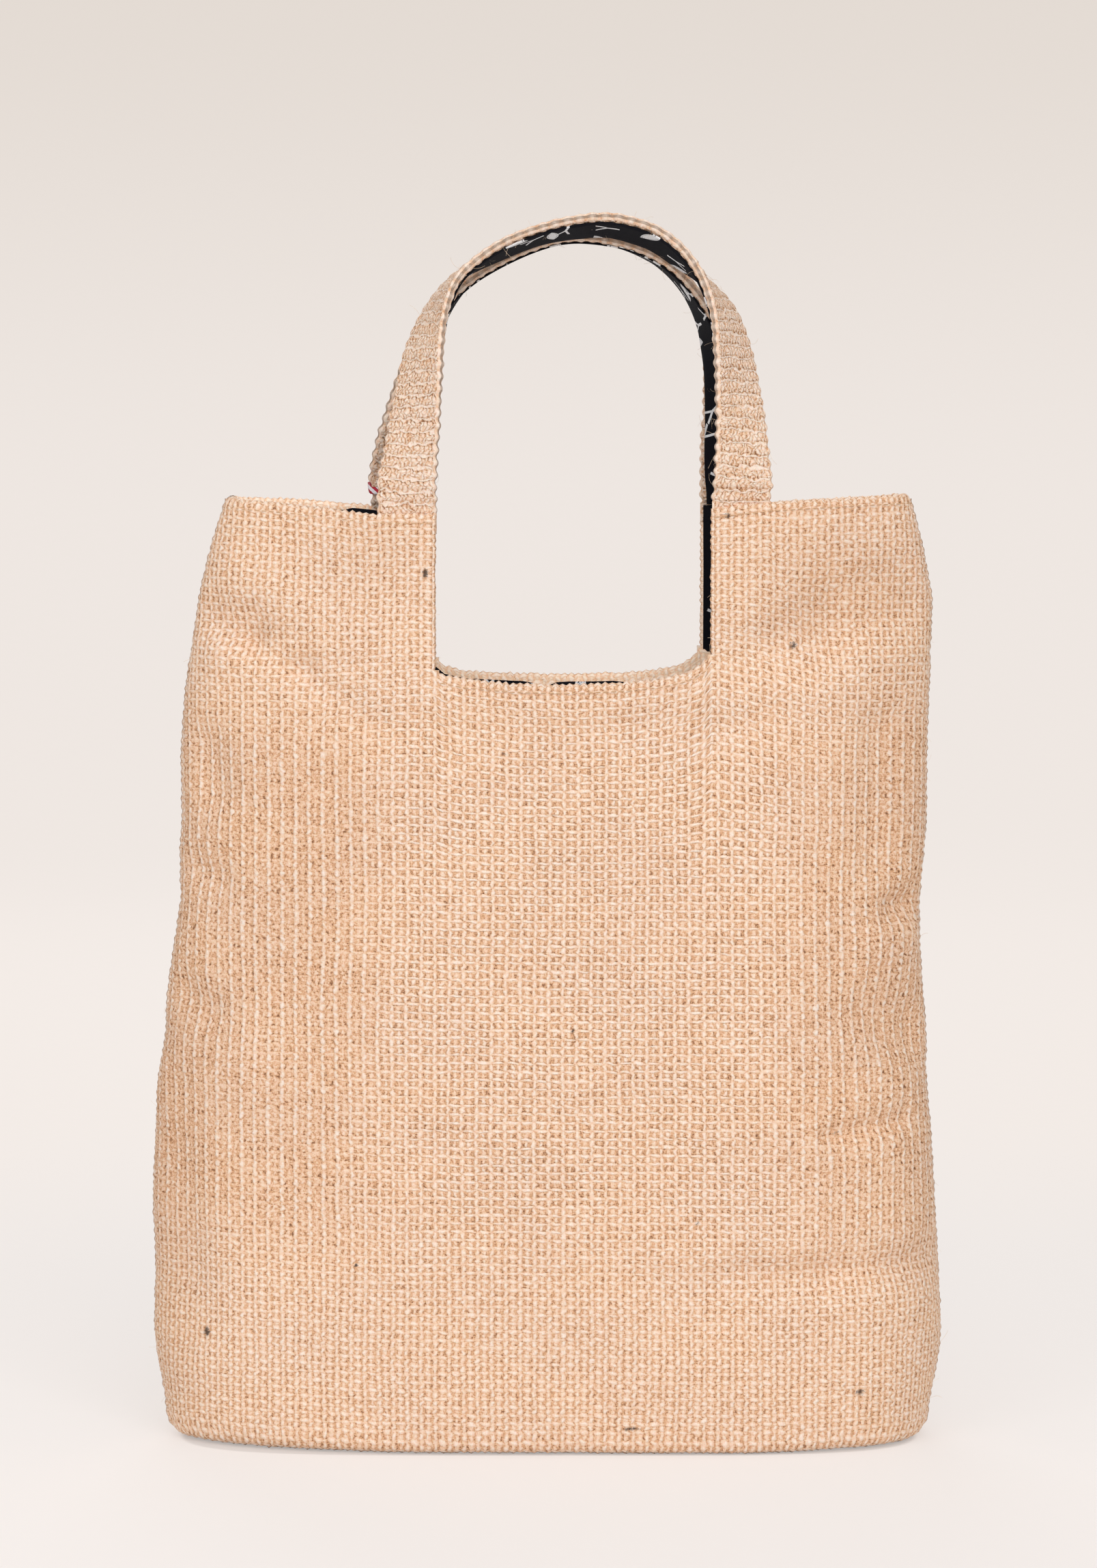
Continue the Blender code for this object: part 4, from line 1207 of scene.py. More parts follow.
def strap_frames(panel, path, follows_inner):
    """Middle line, width, face and thickness of a strap, from foot to foot."""
    sign = panel["sign"]
    even = spline(path, STRAP_STATIONS)
    edge, turn = even[:, :3], np.radians(even[:, 3])
    along = np.gradient(edge, axis=0)
    along /= np.linalg.norm(along, axis=1)[:, None]
    outward = np.column_stack([-along[:, 2], 0 * turn, along[:, 0]])
    outward /= np.linalg.norm(outward, axis=1)[:, None]
    wide = np.cos(turn)[:, None] * outward + np.sin(turn)[:, None] * np.array([0, -sign, 0])
    wide -= along * np.sum(wide * along, axis=1)[:, None]
    wide /= np.linalg.norm(wide, axis=1)[:, None]
    middle = edge + wide * STRAP_WIDTH / 2 * (1 if follows_inner else -1)
    face = np.cross(along, wide) * (1 if sign < 0 else -1)
    feet = []
    for side in (-1, 1):
        inner = panel["notch"][0 if side < 0 else 1]
        outer = panel["tails"][0 if side < 0 else 1]
        rim = max(edge_at(panel, "rim", [inner, outer]))
        foot = []
        spare = (abs(outer - inner) - STRAP_WIDTH) * 0.5
        reach = (outer - side * spare - side * STRAP_WIDTH, outer - side * 0.4)
        for above, deep in FOOT_ROWS:
            ends = [cloth(s, rim + above, panel, JUTE + GAP + deep / 2) for s in reach]
            across = (ends[1] - ends[0]) / np.linalg.norm(ends[1] - ends[0])
            up = np.array([0, 0, -float(side)])
            normal = np.cross(up, across) * (1 if sign < 0 else -1)
            foot.append(np.concatenate([(ends[0] + ends[1]) / 2, across, normal, [deep]]))
        feet.append(foot if side < 0 else foot[::-1])
    thick = np.full((len(middle), 1), STRAP_THICK)
    return np.vstack([feet[0], np.hstack([middle, wide, face, thick]), feet[1]])


front_stations = strap_frames(FRONT, FRONT_STRAP, True)
back_stations = strap_frames(BACK, BACK_STRAP, False)


def strap_length(stations):
    return float(np.sum(np.linalg.norm(np.diff(stations[:, :3], axis=0), axis=1)))


for label, stations in (("front", front_stations), ("back", back_stations)):
    print(label, "strap is", round(strap_length(stations)), "mm long")

# %% Weave the straps
STRAP_WARP = 3.5       # width of a warp
STRAP_WEFT = 3.1       # and height of a row
STRAP_SPARE = 0.45     # the band's loops reach this much past its solid on each side
STRAP_FINE = 4         # rows of points for each weft
ACROSS = 17            # points on each face, two for each warp
EDGE_TURNS = 4         # points round each edge
KNOT = 0.55            # how far the edge knots stand out
KNOT_UNEVEN = 0.75     # and how unlike one another they are, as a share of that
RIB_OUT = 0.34         # how far the ribs stand out, and the beads on them
BEAD_OUT = 0.10
BAND_UNEVEN = 0.06
BAND_SLUB = 0.30
BAND_DULL = 0.42       # the straps' yarn is a little darker than the walls'
BACK_SHIFT = 40.0      # warps between the two faces in the UV map, so that they differ

# The section, as shares of half its width and thickness
FLAT_PART = 0.90       # a face goes this far out,
EDGE_PART = 0.10       # the rest is a rounded edge
EDGE_HIGH = 0.87       # of this height,
CROWN = 0.14           # and a face is this much lower there than in the middle


def strap_ring():
    """The section's points: across and out, as shares of half the width and thickness."""
    flat = np.linspace(-FLAT_PART, FLAT_PART, ACROSS)
    edge = [math.radians(a) for a in np.linspace(70, -70, EDGE_TURNS)]
    ring = [(x, 1 - CROWN * x * x) for x in flat]
    ring += [(FLAT_PART + EDGE_PART * math.cos(a), EDGE_HIGH * math.sin(a)) for a in edge]
    ring += [(-x, -1 + CROWN * x * x) for x in flat]
    ring += [(-FLAT_PART - EDGE_PART * math.cos(a), -EDGE_HIGH * math.sin(a)) for a in edge]
    return np.array(ring)


def resampled(stations, count):
    """The same strap at count even places, with its width and face at full length again."""
    even = spline(stations, count)
    for first in (3, 6):
        size = np.linalg.norm(even[:, first:first + 3], axis=1)
        even[:, first:first + 3] /= size[:, None]
    return even


def woven_strap(name, stations, seed):
    length = strap_length(stations)
    count = int(round(length / STRAP_WEFT * STRAP_FINE))
    rows = resampled(stations, count + 1)
    ring = strap_ring()
    total = len(ring)
    upward = np.repeat((np.arange(count + 1) / STRAP_FINE)[:, None], total, axis=1)
    half = STRAP_WIDTH / 2 + STRAP_SPARE
    across = np.repeat((ring[None, :, 0] * half / STRAP_WARP), count + 1, axis=0)
    behind = np.where(ring[:, 1] < 0, 0.5, 0.0)
    rng = np.random.default_rng(seed)
    # Ribs across the band, seeds where warps pass over, and knots along both edges
    rib = np.cos(math.pi * upward)
    beads = np.cos(2 * math.pi * (across + behind + np.round(upward / 2) * 0.5))
    push = RIB_OUT * rib + BEAD_OUT * beads * np.maximum(rib, 0)
    slubs = BAND_SLUB * soft_noise(upward * 3, across * 3, SLUB_LUMP, seed)
    push += rng.normal(0, BAND_UNEVEN, push.shape) + slubs
    at_edge = ease((np.abs(ring[:, 0]) - 0.80) / 0.16)[None]
    bulge = np.sign(rib) * np.abs(rib) ** 0.7
    which_edge = np.sign(ring[:, 0]) * 40 + 0 * upward
    knots = KNOT * (bulge + KNOT_UNEVEN * soft_noise(upward, which_edge, 1.3, seed + 1))
    push = push * (1 - 0.6 * at_edge)
    thick = rows[:, 9][:, None]
    free = ease((thick - TAIL_THICK) / (STRAP_THICK - TAIL_THICK))
    side = ring[None, :, 0] * half + np.sign(ring[:, 0]) * at_edge * (knots - 0.25) * free
    out = ring[None, :, 1] * thick / 2 + np.sign(ring[:, 1]) * push * free * (1 - 0.5 * at_edge)
    points = (rows[:, None, :3] + rows[:, None, 3:6] * side[..., None]
              + rows[:, None, 6:9] * out[..., None]).reshape(-1, 3)
    cells = []
    for r in range(count):
        for k in range(total):
            a, b = r * total + k, r * total + (k + 1) % total
            cells.append([b, a, a + total, b + total])
    cells += [list(range(total)), [count * total + k for k in range(total)][::-1]]
    weave = np.stack([across + np.where(ring[:, 1] < 0, BACK_SHIFT, 0.0)[None], upward], axis=-1)
    edge = np.repeat(np.where(np.abs(ring[None, :, 0]) > 0.92, 1.0, 0.0), count + 1, axis=0)
    return faced_outwards(make_piece(name, points, cells, band_jute, weave.reshape(-1, 2),
                                     soil=0.0, edge=edge.reshape(-1), dull=BAND_DULL))


front_band = stands_for(woven_strap("front_strap_weave", front_stations, 5), "jute", "front_strap")
back_band = stands_for(woven_strap("back_strap_weave", back_stations, 8), "jute", "back_strap")

# %% [markdown]
# ## The linings
#
# The cotton hangs just inside the jute and stops a little short of the rims. It is thin, so it is
# made as a closed sheet of 1 mm with finer points than its solid, and it is a touch slack, in
# small waves. Its UV map is in millimetres, for the print.

# %% Sew in the wall linings
LINING_SHORT = 3.8     # below the folds of the hems
LINING_SEAM = 3.5      # it turns in before the side seams
LINING_PEEKS = [(-114.0, -101.0, 1.4), (62.0, 92.0, 4.4)]   # where the back's rides up
LINING_STEP = 6.0      # height of a row below the cut-out
LINING_LEVEL = 372.0   # the rows are laid out up to here, then fitted below the cut-out,
LINING_UNDER = 16.0    # where they stop this far under its edge
LINING_PARTS = 25      # points across the cut-out, and across each side
NOTCH_PAST = 1.4       # the cotton goes this much past the cut-out's sides
CUT_STEPS = [14.5, 12.5, 9, 6, LINING_SHORT]    # then rows so far under the cut-out's edge
SHOULDER_ROWS = 9      # rows between the notch's level and the shoulders' hems
SHOULDER_UNDER = 36.0  # the last of them is so far under the rim
RIM_STEPS = [30] + CUT_STEPS                    # and these are the rows above it
SLACK = 0.25
CUT_DIPS = [(-70, 0.5), (-54, 0.0), (-22, 0.2), (-13, 3.0), (-6, 0.0), (14, 0.4), (26, 0.3),
            (32, 3.6), (50, 4.5), (67, 8.0)]     # how far lower the edge is along the cut-out


def closed_sheet(name, near, far, weave, keep, finish):
    """A sheet between two grids of points: both faces, and a strip round every open edge."""
    count = len(near)
    faces, edges = [], {}
    for cell in sheet_cells(keep):
        faces.append(cell)
        faces.append([v + count for v in reversed(cell)])
        for one, two in zip(cell, cell[1:] + cell[:1]):
            edges[(one, two)] = True
    for one, two in edges:
        if (two, one) not in edges:
            faces.append([two, one, one + count, two + count])
    used = sorted({v for face in faces for v in face})
    fresh = {old: new for new, old in enumerate(used)}
    faces = [[fresh[v] for v in face] for face in faces]
    points = np.concatenate([near, far])[used]
    return faced_outwards(make_piece(name, points, faces, finish, np.concatenate([weave, weave])[used]))


def wall_lining(name, panel, seed):
    low, high = panel["notch"]
    notch = np.linspace(low - NOTCH_PAST, high + NOTCH_PAST, LINING_PARTS)
    left = np.linspace(-1, 0, LINING_PARTS)[:-1]
    right = np.linspace(0, 1, LINING_PARTS)[1:]
    rows_below = np.arange(0.5, LINING_LEVEL, LINING_STEP)
    cut = edge_at(panel, "cut", notch)
    first, last = len(left), len(left) + len(notch) - 1
    columns = last + len(right)
    mid_row = len(rows_below) + len(CUT_STEPS) - 1
    rows = mid_row + SHOULDER_ROWS + len(RIM_STEPS)
    s, h = np.zeros((2, rows + 1, columns + 1))
    for r in range(rows + 1):
        for c in range(columns + 1):
            near = float(np.clip(notch[min(max(c - first, 0), last - first)], low, high))
            here = cut[min(max(c - first, 0), last - first)]
            tall = float(edge_at(panel, "rim", near))
            if r < len(rows_below):
                height = rows_below[r] * (here - LINING_UNDER) / LINING_LEVEL
            elif r <= mid_row:
                height = here - CUT_STEPS[r - len(rows_below)]
            elif r <= mid_row + SHOULDER_ROWS:
                share = (r - mid_row) / SHOULDER_ROWS
                height = here - LINING_SHORT + (tall - SHOULDER_UNDER - here) * share
            else:
                height = tall - RIM_STEPS[r - mid_row - SHOULDER_ROWS - 1]
            if c < first:
                edge = float(seam_length(-1, max(height, ROLL))) - LINING_SEAM
                along = notch[0] + left[c] * (edge + notch[0])
            elif c > last:
                edge = float(seam_length(1, max(height, ROLL))) - LINING_SEAM
                along = notch[-1] + right[c - last - 1] * (edge - notch[-1])
            else:
                along = notch[c - first]
            # The rim isn't level, and here and there the edge rides up or dips
            rise = float(edge_at(panel, "rim", along)) - tall
            height += rise * min(1.0, max(0.0, (r - mid_row) / (rows - mid_row)) * 1.4)
            for start, end, up in LINING_PEEKS:
                peek = float(ease((along - start + 5) / 5) * ease((end + 5 - along) / 5))
                height += up * peek * (r == rows) * (panel["sign"] > 0)
            if first <= c <= last and len(rows_below) < r <= mid_row + 2:
                height -= float(np.interp(along, *zip(*CUT_DIPS)))
            s[r, c], h[r, c] = along, height
    # It has to clear the folded hems, which are thicker than the wall
    room = np.full(s.shape, JUTE)
    near_cut = np.zeros(s.shape, bool)
    near_cut[len(rows_below) + 1:mid_row + 1, first:last + 1] = True
    near_rim = np.zeros(s.shape, bool)
    near_rim[rows - 4:, :first + 1] = True
    near_rim[rows - 4:, last:] = True
    room = np.where(near_cut | near_rim, JUTE + HEM_EXTRA, room)
    slack = SLACK * (1 + soft_noise(s, h, 21, seed))
    near = cloth(s, h, panel, room + GAP + slack, fine=True).reshape(-1, 3)
    far = cloth(s, h, panel, room + GAP + slack + COTTON - SLACK, fine=True).reshape(-1, 3)
    keep = np.ones((rows, columns), bool)
    keep[mid_row:, first:last] = False
    weave = np.stack([s, h], axis=-1).reshape(-1, 2)
    return closed_sheet(name, near, far, weave, keep, cotton)


front_inside = stands_for(wall_lining("front_lining_cloth", FRONT, 31), "dark_cotton", "front_lining")
back_inside = stands_for(wall_lining("back_lining_cloth", BACK, 32), "dark_cotton", "back_lining")

# %% [markdown]
# The straps are lined on their inner side with a strip of the same cotton, a little narrower than
# the band, so the jute's knots show past it on both sides.

# %% Sew on the strap linings
STRIP_STEPS = 8        # across the strip
STRIP_STEP = 3         # millimetres, and along it
STRIP_NEAR = 2.95      # from the band's middle to the strip's
STRIP_THIN = 0.8
STRIP_WAVER = 0.35     # how far its edges waver
PRINT_SHIFT = 400      # it is cut from another part of the print than the walls' lining
FRONT_ASIDE = [1.3, 0.9, 0.0, 0.0, 0.3, 0.6]    # shift towards the outer edge, foot to foot
BACK_ASIDE = [-2.3, -1.6, 0.0, 0.0, 0.0, 0.2]
FRONT_NARROW = [0.5, 0.3, 0.0, 0.0, 0.0, 0.0]   # and how much narrower each half is there
BACK_NARROW = [2.3, 1.6, 0.0, 0.0, 0.0, 0.0]


def strap_lining(name, stations, shifts, narrower, seed):
    inner = stations[1:-1]
    count = int(round(strap_length(inner) / STRIP_STEP))
    rows = resampled(inner, count + 1)
    shares = np.linspace(-1, 1, STRIP_STEPS + 1)
    run = np.arange(count + 1) * strap_length(inner) / count
    near, far, weave = [], [], []
    for row, place in zip(rows, run):
        waver = STRIP_WAVER * soft_noise(place, 0, 14, seed)
        share_along = np.linspace(0, 1, len(shifts))
        shift = np.interp(place / run[-1], share_along, shifts)
        half = STRIP_WIDTH / 2 - np.interp(place / run[-1], share_along, narrower)
        for share in shares:
            side = share * half + waver * abs(share) + shift
            for half_way, store in ((-0.5, near), (0.5, far)):
                depth = STRIP_NEAR + half_way * STRIP_THIN
                store.append(row[:3] + row[3:6] * side - row[6:9] * depth)
            weave.append((side + PRINT_SHIFT + seed, place))
    keep = np.ones((count, STRIP_STEPS), bool)
    return closed_sheet(name, np.array(near), np.array(far), np.array(weave), keep, cotton)


front_strip = stands_for(
    strap_lining("front_strap_strip", front_stations, FRONT_ASIDE, FRONT_NARROW, 41),
    "dark_cotton", "front_strap_lining")
back_strip = stands_for(
    strap_lining("back_strap_strip", back_stations, BACK_ASIDE, BACK_NARROW, 47),
    "dark_cotton", "back_strap_lining")

# %% [markdown]
# ## The base
#
# The base is a flat piece of the same jute, set inside the turned edge of the walls, with cotton
# over it. It is seen only from below and, deep inside, from above.

# %% Lay the base
BASE_COLUMNS = 96
BASE_ROWS = 28
BASE_DEPTH = 93.0


def base_sheet(name, z, thick, finish, pitch):
    shares = np.linspace(-1, 1, BASE_COLUMNS + 1)
    side = np.where(shares < 0, -1, 1)
    length = np.array([float(seam_length(k, ROLL)) for k in side]) - BASE_ENDS
    s = shares * length
    ends = []
    for panel in (FRONT, BACK):
        line = cloth(s, np.zeros(len(s)), panel, np.zeros(len(s)))
        _, out = wall(s, np.full(len(s), ROLL), panel["sign"])
        ends.append((line - out * BASE_INSET)[:, :2])
    steps = np.linspace(0, 1, BASE_ROWS + 1)[:, None, None]
    flat = ends[0][None] * (1 - steps) + ends[1][None] * steps
    low = np.dstack([flat, np.full(flat.shape[:2], z)]).reshape(-1, 3)
    high = np.dstack([flat, np.full(flat.shape[:2], z + thick)]).reshape(-1, 3)
    keep = np.ones((BASE_ROWS, BASE_COLUMNS), bool)
    return closed_sheet(name, low, high, flat.reshape(-1, 2) / pitch, keep, finish)


base_weave = stands_for(base_sheet("base_weave", 0.0, JUTE, jute, PITCH), "jute", "base_panel")
base_inside = stands_for(base_sheet("base_lining_cloth", JUTE + GAP, COTTON, cotton, 1.0),
                         "dark_cotton", "base_lining")

# %% [markdown]
# ## The striped tie
#
# A scrap of tape goes once round the back strap's foot. A ring of eight corners, bevelled, is
# enough for a piece that shows 5 mm of itself.

# %% Wind the tie
TIE_SHARES = (0.22, 0.34, 0.48, 0.62, 0.74)    # its rows, from one place of the strap to the next
TIE_WIDTH = STRAP_WIDTH - 0.6
TIE_NEAR = 3.0         # from the strap's middle to its faces
TIE_FAR = 4.6
TIE_THICK = 1.3
TIE_SWELL = 0.25       # how much thicker it is in its middle
TIE_CUT = 0.5          # the bevel at its corners
TIE_CORNERS = 8


def tie_ring(grow, swell):
    """The corners of a ring round the strap, across and out."""
    u, cut = TIE_WIDTH / 2 + grow + swell, TIE_CUT + grow * 0.4
    top, low = TIE_NEAR + grow + swell, -TIE_FAR - grow - swell
    return [(u - cut, top), (u, top - cut), (u, low + cut), (u - cut, low),
            (cut - u, low), (-u, low + cut), (-u, top - cut), (cut - u, top)]


def wound_tie(name, start, end):
    points = []
    profile = [(share, TIE_THICK, TIE_SWELL * math.sin(math.pi * k / 4))
               for k, share in enumerate(TIE_SHARES)]
    profile += [(share, 0.0, 0.0) for share in reversed(TIE_SHARES)]
    for share, grow, swell in profile:
        row = start + (end - start) * share
        points += [row[:3] + row[3:6] * x + row[6:9] * y for x, y in tie_ring(grow, swell)]
    cells = []
    loops = len(profile)
    for r in range(loops):
        here, there = r * TIE_CORNERS, (r + 1) % loops * TIE_CORNERS
        for k in range(TIE_CORNERS):
            after = (k + 1) % TIE_CORNERS
            cells.append([here + k, here + after, there + after, there + k])
    return faced_outwards(make_piece(name, np.array(points), cells, tape))


stands_for(wound_tie("striped_tape_tie", back_stations[3], back_stations[4]),
           "striped_tape", "striped_tie")

# %% [markdown]
# ## Stitches, by Geometry Nodes
#
# A line of stitching runs 4 to 5 mm below each rim. Stitches repeat along a path, which is what
# Geometry Nodes are for: the tree cuts the path into even steps, puts a short rounded stitch on
# each, and turns it along the path. The sizes are inputs of the tree, so one tree sews every hem.

# %% Build the stitch tree
def new_tree(name, inputs):
    """A Geometry Nodes tree with a geometry in and out, and named inputs of the given kinds."""
    tree = bpy.data.node_groups.new(name, "GeometryNodeTree")
    tree.interface.new_socket("Geometry", in_out="INPUT", socket_type="NodeSocketGeometry")
    for label, kind in inputs:
        tree.interface.new_socket(label, in_out="INPUT", socket_type=kind)
    tree.interface.new_socket("Geometry", in_out="OUTPUT", socket_type="NodeSocketGeometry")
    given = tree.nodes.new("NodeGroupInput")
    return tree, given.outputs, tree.nodes.new("NodeGroupOutput")


def add_node(tree, kind, inputs, **settings):
    """A new node, whose inputs are each given a value or an output of another node."""
    made = tree.nodes.new(kind)
    for name, value in settings.items():
        setattr(made, name, value)
    for socket, value in inputs.items():
        if isinstance(value, bpy.types.NodeSocket):
            tree.links.new(value, made.inputs[socket])
        else:
            made.inputs[socket].default_value = value
    return made.outputs


def closing(tree, given, target, **placing):
    """Every tree here ends in the same way: copies on points, made real, with their material."""
    place = add_node(tree, "GeometryNodeInstanceOnPoints", placing)
    real = add_node(tree, "GeometryNodeRealizeInstances", {"Geometry": place[0]})
    dress = add_node(tree, "GeometryNodeSetMaterial",
                     {"Geometry": real[0], "Material": given["Finish"]})
    tree.links.new(dress[0], target.inputs[0])


def stitch_tree():
    tree, given, target = new_tree("sew_along", [
        ("Spacing", "NodeSocketFloat"), ("Length", "NodeSocketFloat"),
        ("Thickness", "NodeSocketFloat"), ("Finish", "NodeSocketMaterial")])
    even = add_node(tree, "GeometryNodeResampleCurve",
                    {"Curve": given["Geometry"], "Length": given["Spacing"]}, mode="LENGTH")
    stitch = add_node(tree, "GeometryNodeMeshUVSphere", {"Segments": 6, "Rings": 4, "Radius": 0.5})
    size = add_node(tree, "ShaderNodeCombineXYZ",
                    {0: given["Thickness"], 1: given["Thickness"], 2: given["Length"]})
    way = add_node(tree, "GeometryNodeInputTangent", {})
    turn = add_node(tree, "FunctionNodeAlignRotationToVector", {"Vector": way[0]}, axis="Z")
    closing(tree, given, target, Points=even[0], Instance=stitch["Mesh"],
            Rotation=turn[0], Scale=size[0])
    return tree


def grown(name, source, tree, values):
    """The plain mesh that a tree makes from a source object, which is then removed."""
    modifier = source.modifiers.new("grow", "NODES")
    modifier.node_group = tree
    for item in tree.interface.items_tree:
        if item.in_out == "INPUT" and item.name in values:
            modifier[item.identifier] = values[item.name]
    graph = bpy.context.evaluated_depsgraph_get()
    graph.update()
    mesh = bpy.data.meshes.new_from_object(source.evaluated_get(graph))
    bpy.data.objects.remove(source, do_unlink=True)
    mesh.name = name
    piece = bpy.data.objects.new(name, mesh)
    bpy.context.scene.collection.objects.link(piece)
    return piece


sewing = stitch_tree()
print("the stitch tree has", len(sewing.nodes), "nodes")

# %% Sew the hems
RIM_HEIGHT = 475.0     # about, as it isn't level
STITCH_BELOW = 4.6     # the edge, in millimetres
STITCH_OUT = 0.35      # past the cloth's face
STITCH_POINTS = 60     # along each path
STITCH = {"Spacing": 0.0038, "Length": 0.0030, "Thickness": 0.00075}


def hem_paths(panel):
    """Lines below the rim on both sides, and below the cut-out."""
    low, high = panel["notch"]
    ends = [float(seam_length(side, RIM_HEIGHT)) for side in (-1, 1)]
    runs = [
        (np.linspace(-ends[0] + 3, low - 3, STITCH_POINTS), "rim"),
        (np.linspace(high + 3, ends[1] - 3, STITCH_POINTS), "rim"),
        (np.linspace(low + 4, high - 4, STITCH_POINTS), "cut"),
    ]
    for s, edge in runs:
        h = edge_at(panel, edge, s) - STITCH_BELOW
        yield cloth(s, h, panel, np.full(len(s), -STITCH_OUT), fine=True)


def path_object(name, runs):
    curve = bpy.data.curves.new(name, "CURVE")
    curve.dimensions = "3D"
    for points in runs:
        line = curve.splines.new("POLY")
        line.points.add(len(points) - 1)
        flat = np.column_stack([points * 0.001, np.ones(len(points))])
        line.points.foreach_set("co", flat.ravel())
    path = bpy.data.objects.new(name, curve)
    bpy.context.scene.collection.objects.link(path)
    return path


for label, panel in (("front", FRONT), ("back", BACK)):
    path = path_object(label + "_hem_path", hem_paths(panel))
    stands_for(grown(label + "_hem_stitches", path, sewing, dict(STITCH, Finish=thread)), "jute")

# %% [markdown]
# ## Stray fibres, by Geometry Nodes
#
# Jute sheds. Fine pale hairs stand off every face and catch the light along the outline. A second
# tree strews points over a plain copy of the walls, and on each puts a thin three-sided arc at
# a random angle and size. Its seed is fixed, so the hairs are the same each time.

# %% Build the fibre tree
def fibre_tree():
    tree, given, target = new_tree("stray_hairs", [
        ("Density", "NodeSocketFloat"), ("Radius", "NodeSocketFloat"),
        ("Thickness", "NodeSocketFloat"), ("Seed", "NodeSocketInt"),
        ("Finish", "NodeSocketMaterial")])
    strew = add_node(tree, "GeometryNodeDistributePointsOnFaces",
                     {"Mesh": given["Geometry"], "Density": given["Density"], "Seed": given["Seed"]})
    arc = add_node(tree, "GeometryNodeCurveArc",
                   {"Resolution": 6, "Sweep Angle": math.radians(75), "Radius": given["Radius"]},
                   mode="RADIUS")
    ring = add_node(tree, "GeometryNodeCurvePrimitiveCircle",
                    {"Resolution": 3, "Radius": given["Thickness"]}, mode="RADIUS")
    hair = add_node(tree, "GeometryNodeCurveToMesh",
                    {"Curve": arc["Curve"], "Profile Curve": ring["Curve"]})
    # Each hair starts at its own point, so the arc is moved back by its radius
    back = add_node(tree, "ShaderNodeMath", {0: given["Radius"], 1: -1.0}, operation="MULTIPLY")
    shift = add_node(tree, "ShaderNodeCombineXYZ", {0: back[0]})
    centred = add_node(tree, "GeometryNodeTransform", {"Geometry": hair[0], "Translation": shift[0]})
    spin = add_node(tree, "FunctionNodeRandomValue",
                    {"Min": (-1.1, -1.1, 0.0), "Max": (1.1, 1.1, 2 * math.pi),
                     "Seed": given["Seed"]}, data_type="FLOAT_VECTOR")
    turned = add_node(tree, "FunctionNodeRotateRotation",
                      {"Rotation": strew["Rotation"], "Rotate By": spin["Value"]},
                      rotation_space="LOCAL")
    grow = add_node(tree, "FunctionNodeRandomValue", {2: 0.35, 3: 1.35, "Seed": given["Seed"]},
                    data_type="FLOAT")
    closing(tree, given, target, Points=strew["Points"], Instance=centred[0],
            Rotation=turned[0], Scale=grow[1])
    return tree


hairs = fibre_tree()
print("the fibre tree has", len(hairs.nodes), "nodes")

# %% Strew the fibres
COPY_COLUMNS = 48
COPY_ROWS = 40
HALF_WIDE = 190        # half the bag's width at the rim
STRAP_COPY_ROWS = 120
STRAP_COPY_FROM = 8    # the straps' ends are inside the hems, so no hairs there
STRAP_COPY_TO = 111


def bare_wall(name, panel):
    """A coarse open copy of a wall, for the fibres to start from."""
    low, high = panel["notch"]
    s, h = np.meshgrid(np.linspace(-1, 1, COPY_COLUMNS + 1), np.linspace(0.02, 1, COPY_ROWS + 1))
    side = np.where(s < 0, -1, 1)
    height = h * (edge_at(panel, "rim", s * HALF_WIDE) - 1)
    reach = np.where(side < 0, seam_length(-1, np.maximum(height, ROLL)),
                     seam_length(1, np.maximum(height, ROLL)))
    s = s * reach
    inside = (s > low) & (s < high)
    cut = edge_at(panel, "cut", s)
    height = np.where(inside, np.minimum(height, cut - 1), height)
    points = cloth(s, height, panel, np.zeros(s.shape), fine=True).reshape(-1, 3)
    cells = sheet_cells(np.ones((COPY_ROWS, COPY_COLUMNS), bool))
    if panel["sign"] > 0:
        cells = [cell[:1] + cell[:0:-1] for cell in cells]
    return make_piece(name, points, cells, fibre)


def bare_strap(name, stations):
    """A plain copy of a strap, for the same use."""
    rows = resampled(stations, STRAP_COPY_ROWS)
    ring = [(-1, 1), (1, 1), (1, -1), (-1, -1)]
    points = [row[:3] + row[3:6] * x * STRAP_WIDTH / 2 + row[6:9] * y * STRAP_THICK / 2
              for row in rows for x, y in ring]
    cells = []
    around = len(ring)
    for r in range(STRAP_COPY_FROM, STRAP_COPY_TO):
        for k in range(around):
            a, b = r * around + k, r * around + (k + 1) % around
            cells.append([a, b, b + around, a + around])
    return faced_outwards(make_piece(name, np.array(points), cells, fibre))


HAIR = {"Radius": 0.0055, "Thickness": 0.00005}
for label, source, density, seed in (
        ("front_stray_fibres", bare_wall("front_wall_copy", FRONT), 4200.0, 3),
        ("back_stray_fibres", bare_wall("back_wall_copy", BACK), 3200.0, 5),
        ("front_strap_fibres", bare_strap("front_strap_copy", front_stations), 9000.0, 7),
        ("back_strap_fibres", bare_strap("back_strap_copy", back_stations), 9000.0, 9)):
    values = dict(HAIR, Density=density, Seed=seed, Finish=fibre)
    stands_for(grown(label, source, hairs, values), "jute")

# %% [markdown]
# ## Floor and light
#
# The photograph was taken on seamless pale paper in very soft, even light, with hardly a shadow.
# Here the paper is a round floor that curves up on all sides, well past any camera, so the bag can
# be seen from everywhere. What lights the bag from below is a reflector, a card that lies just
# under the floor, out of the cameras' sight, and glows less in front. An even world fills
# everything, large soft lights from the front give the yarns their shape, and one from behind
# lights the back.

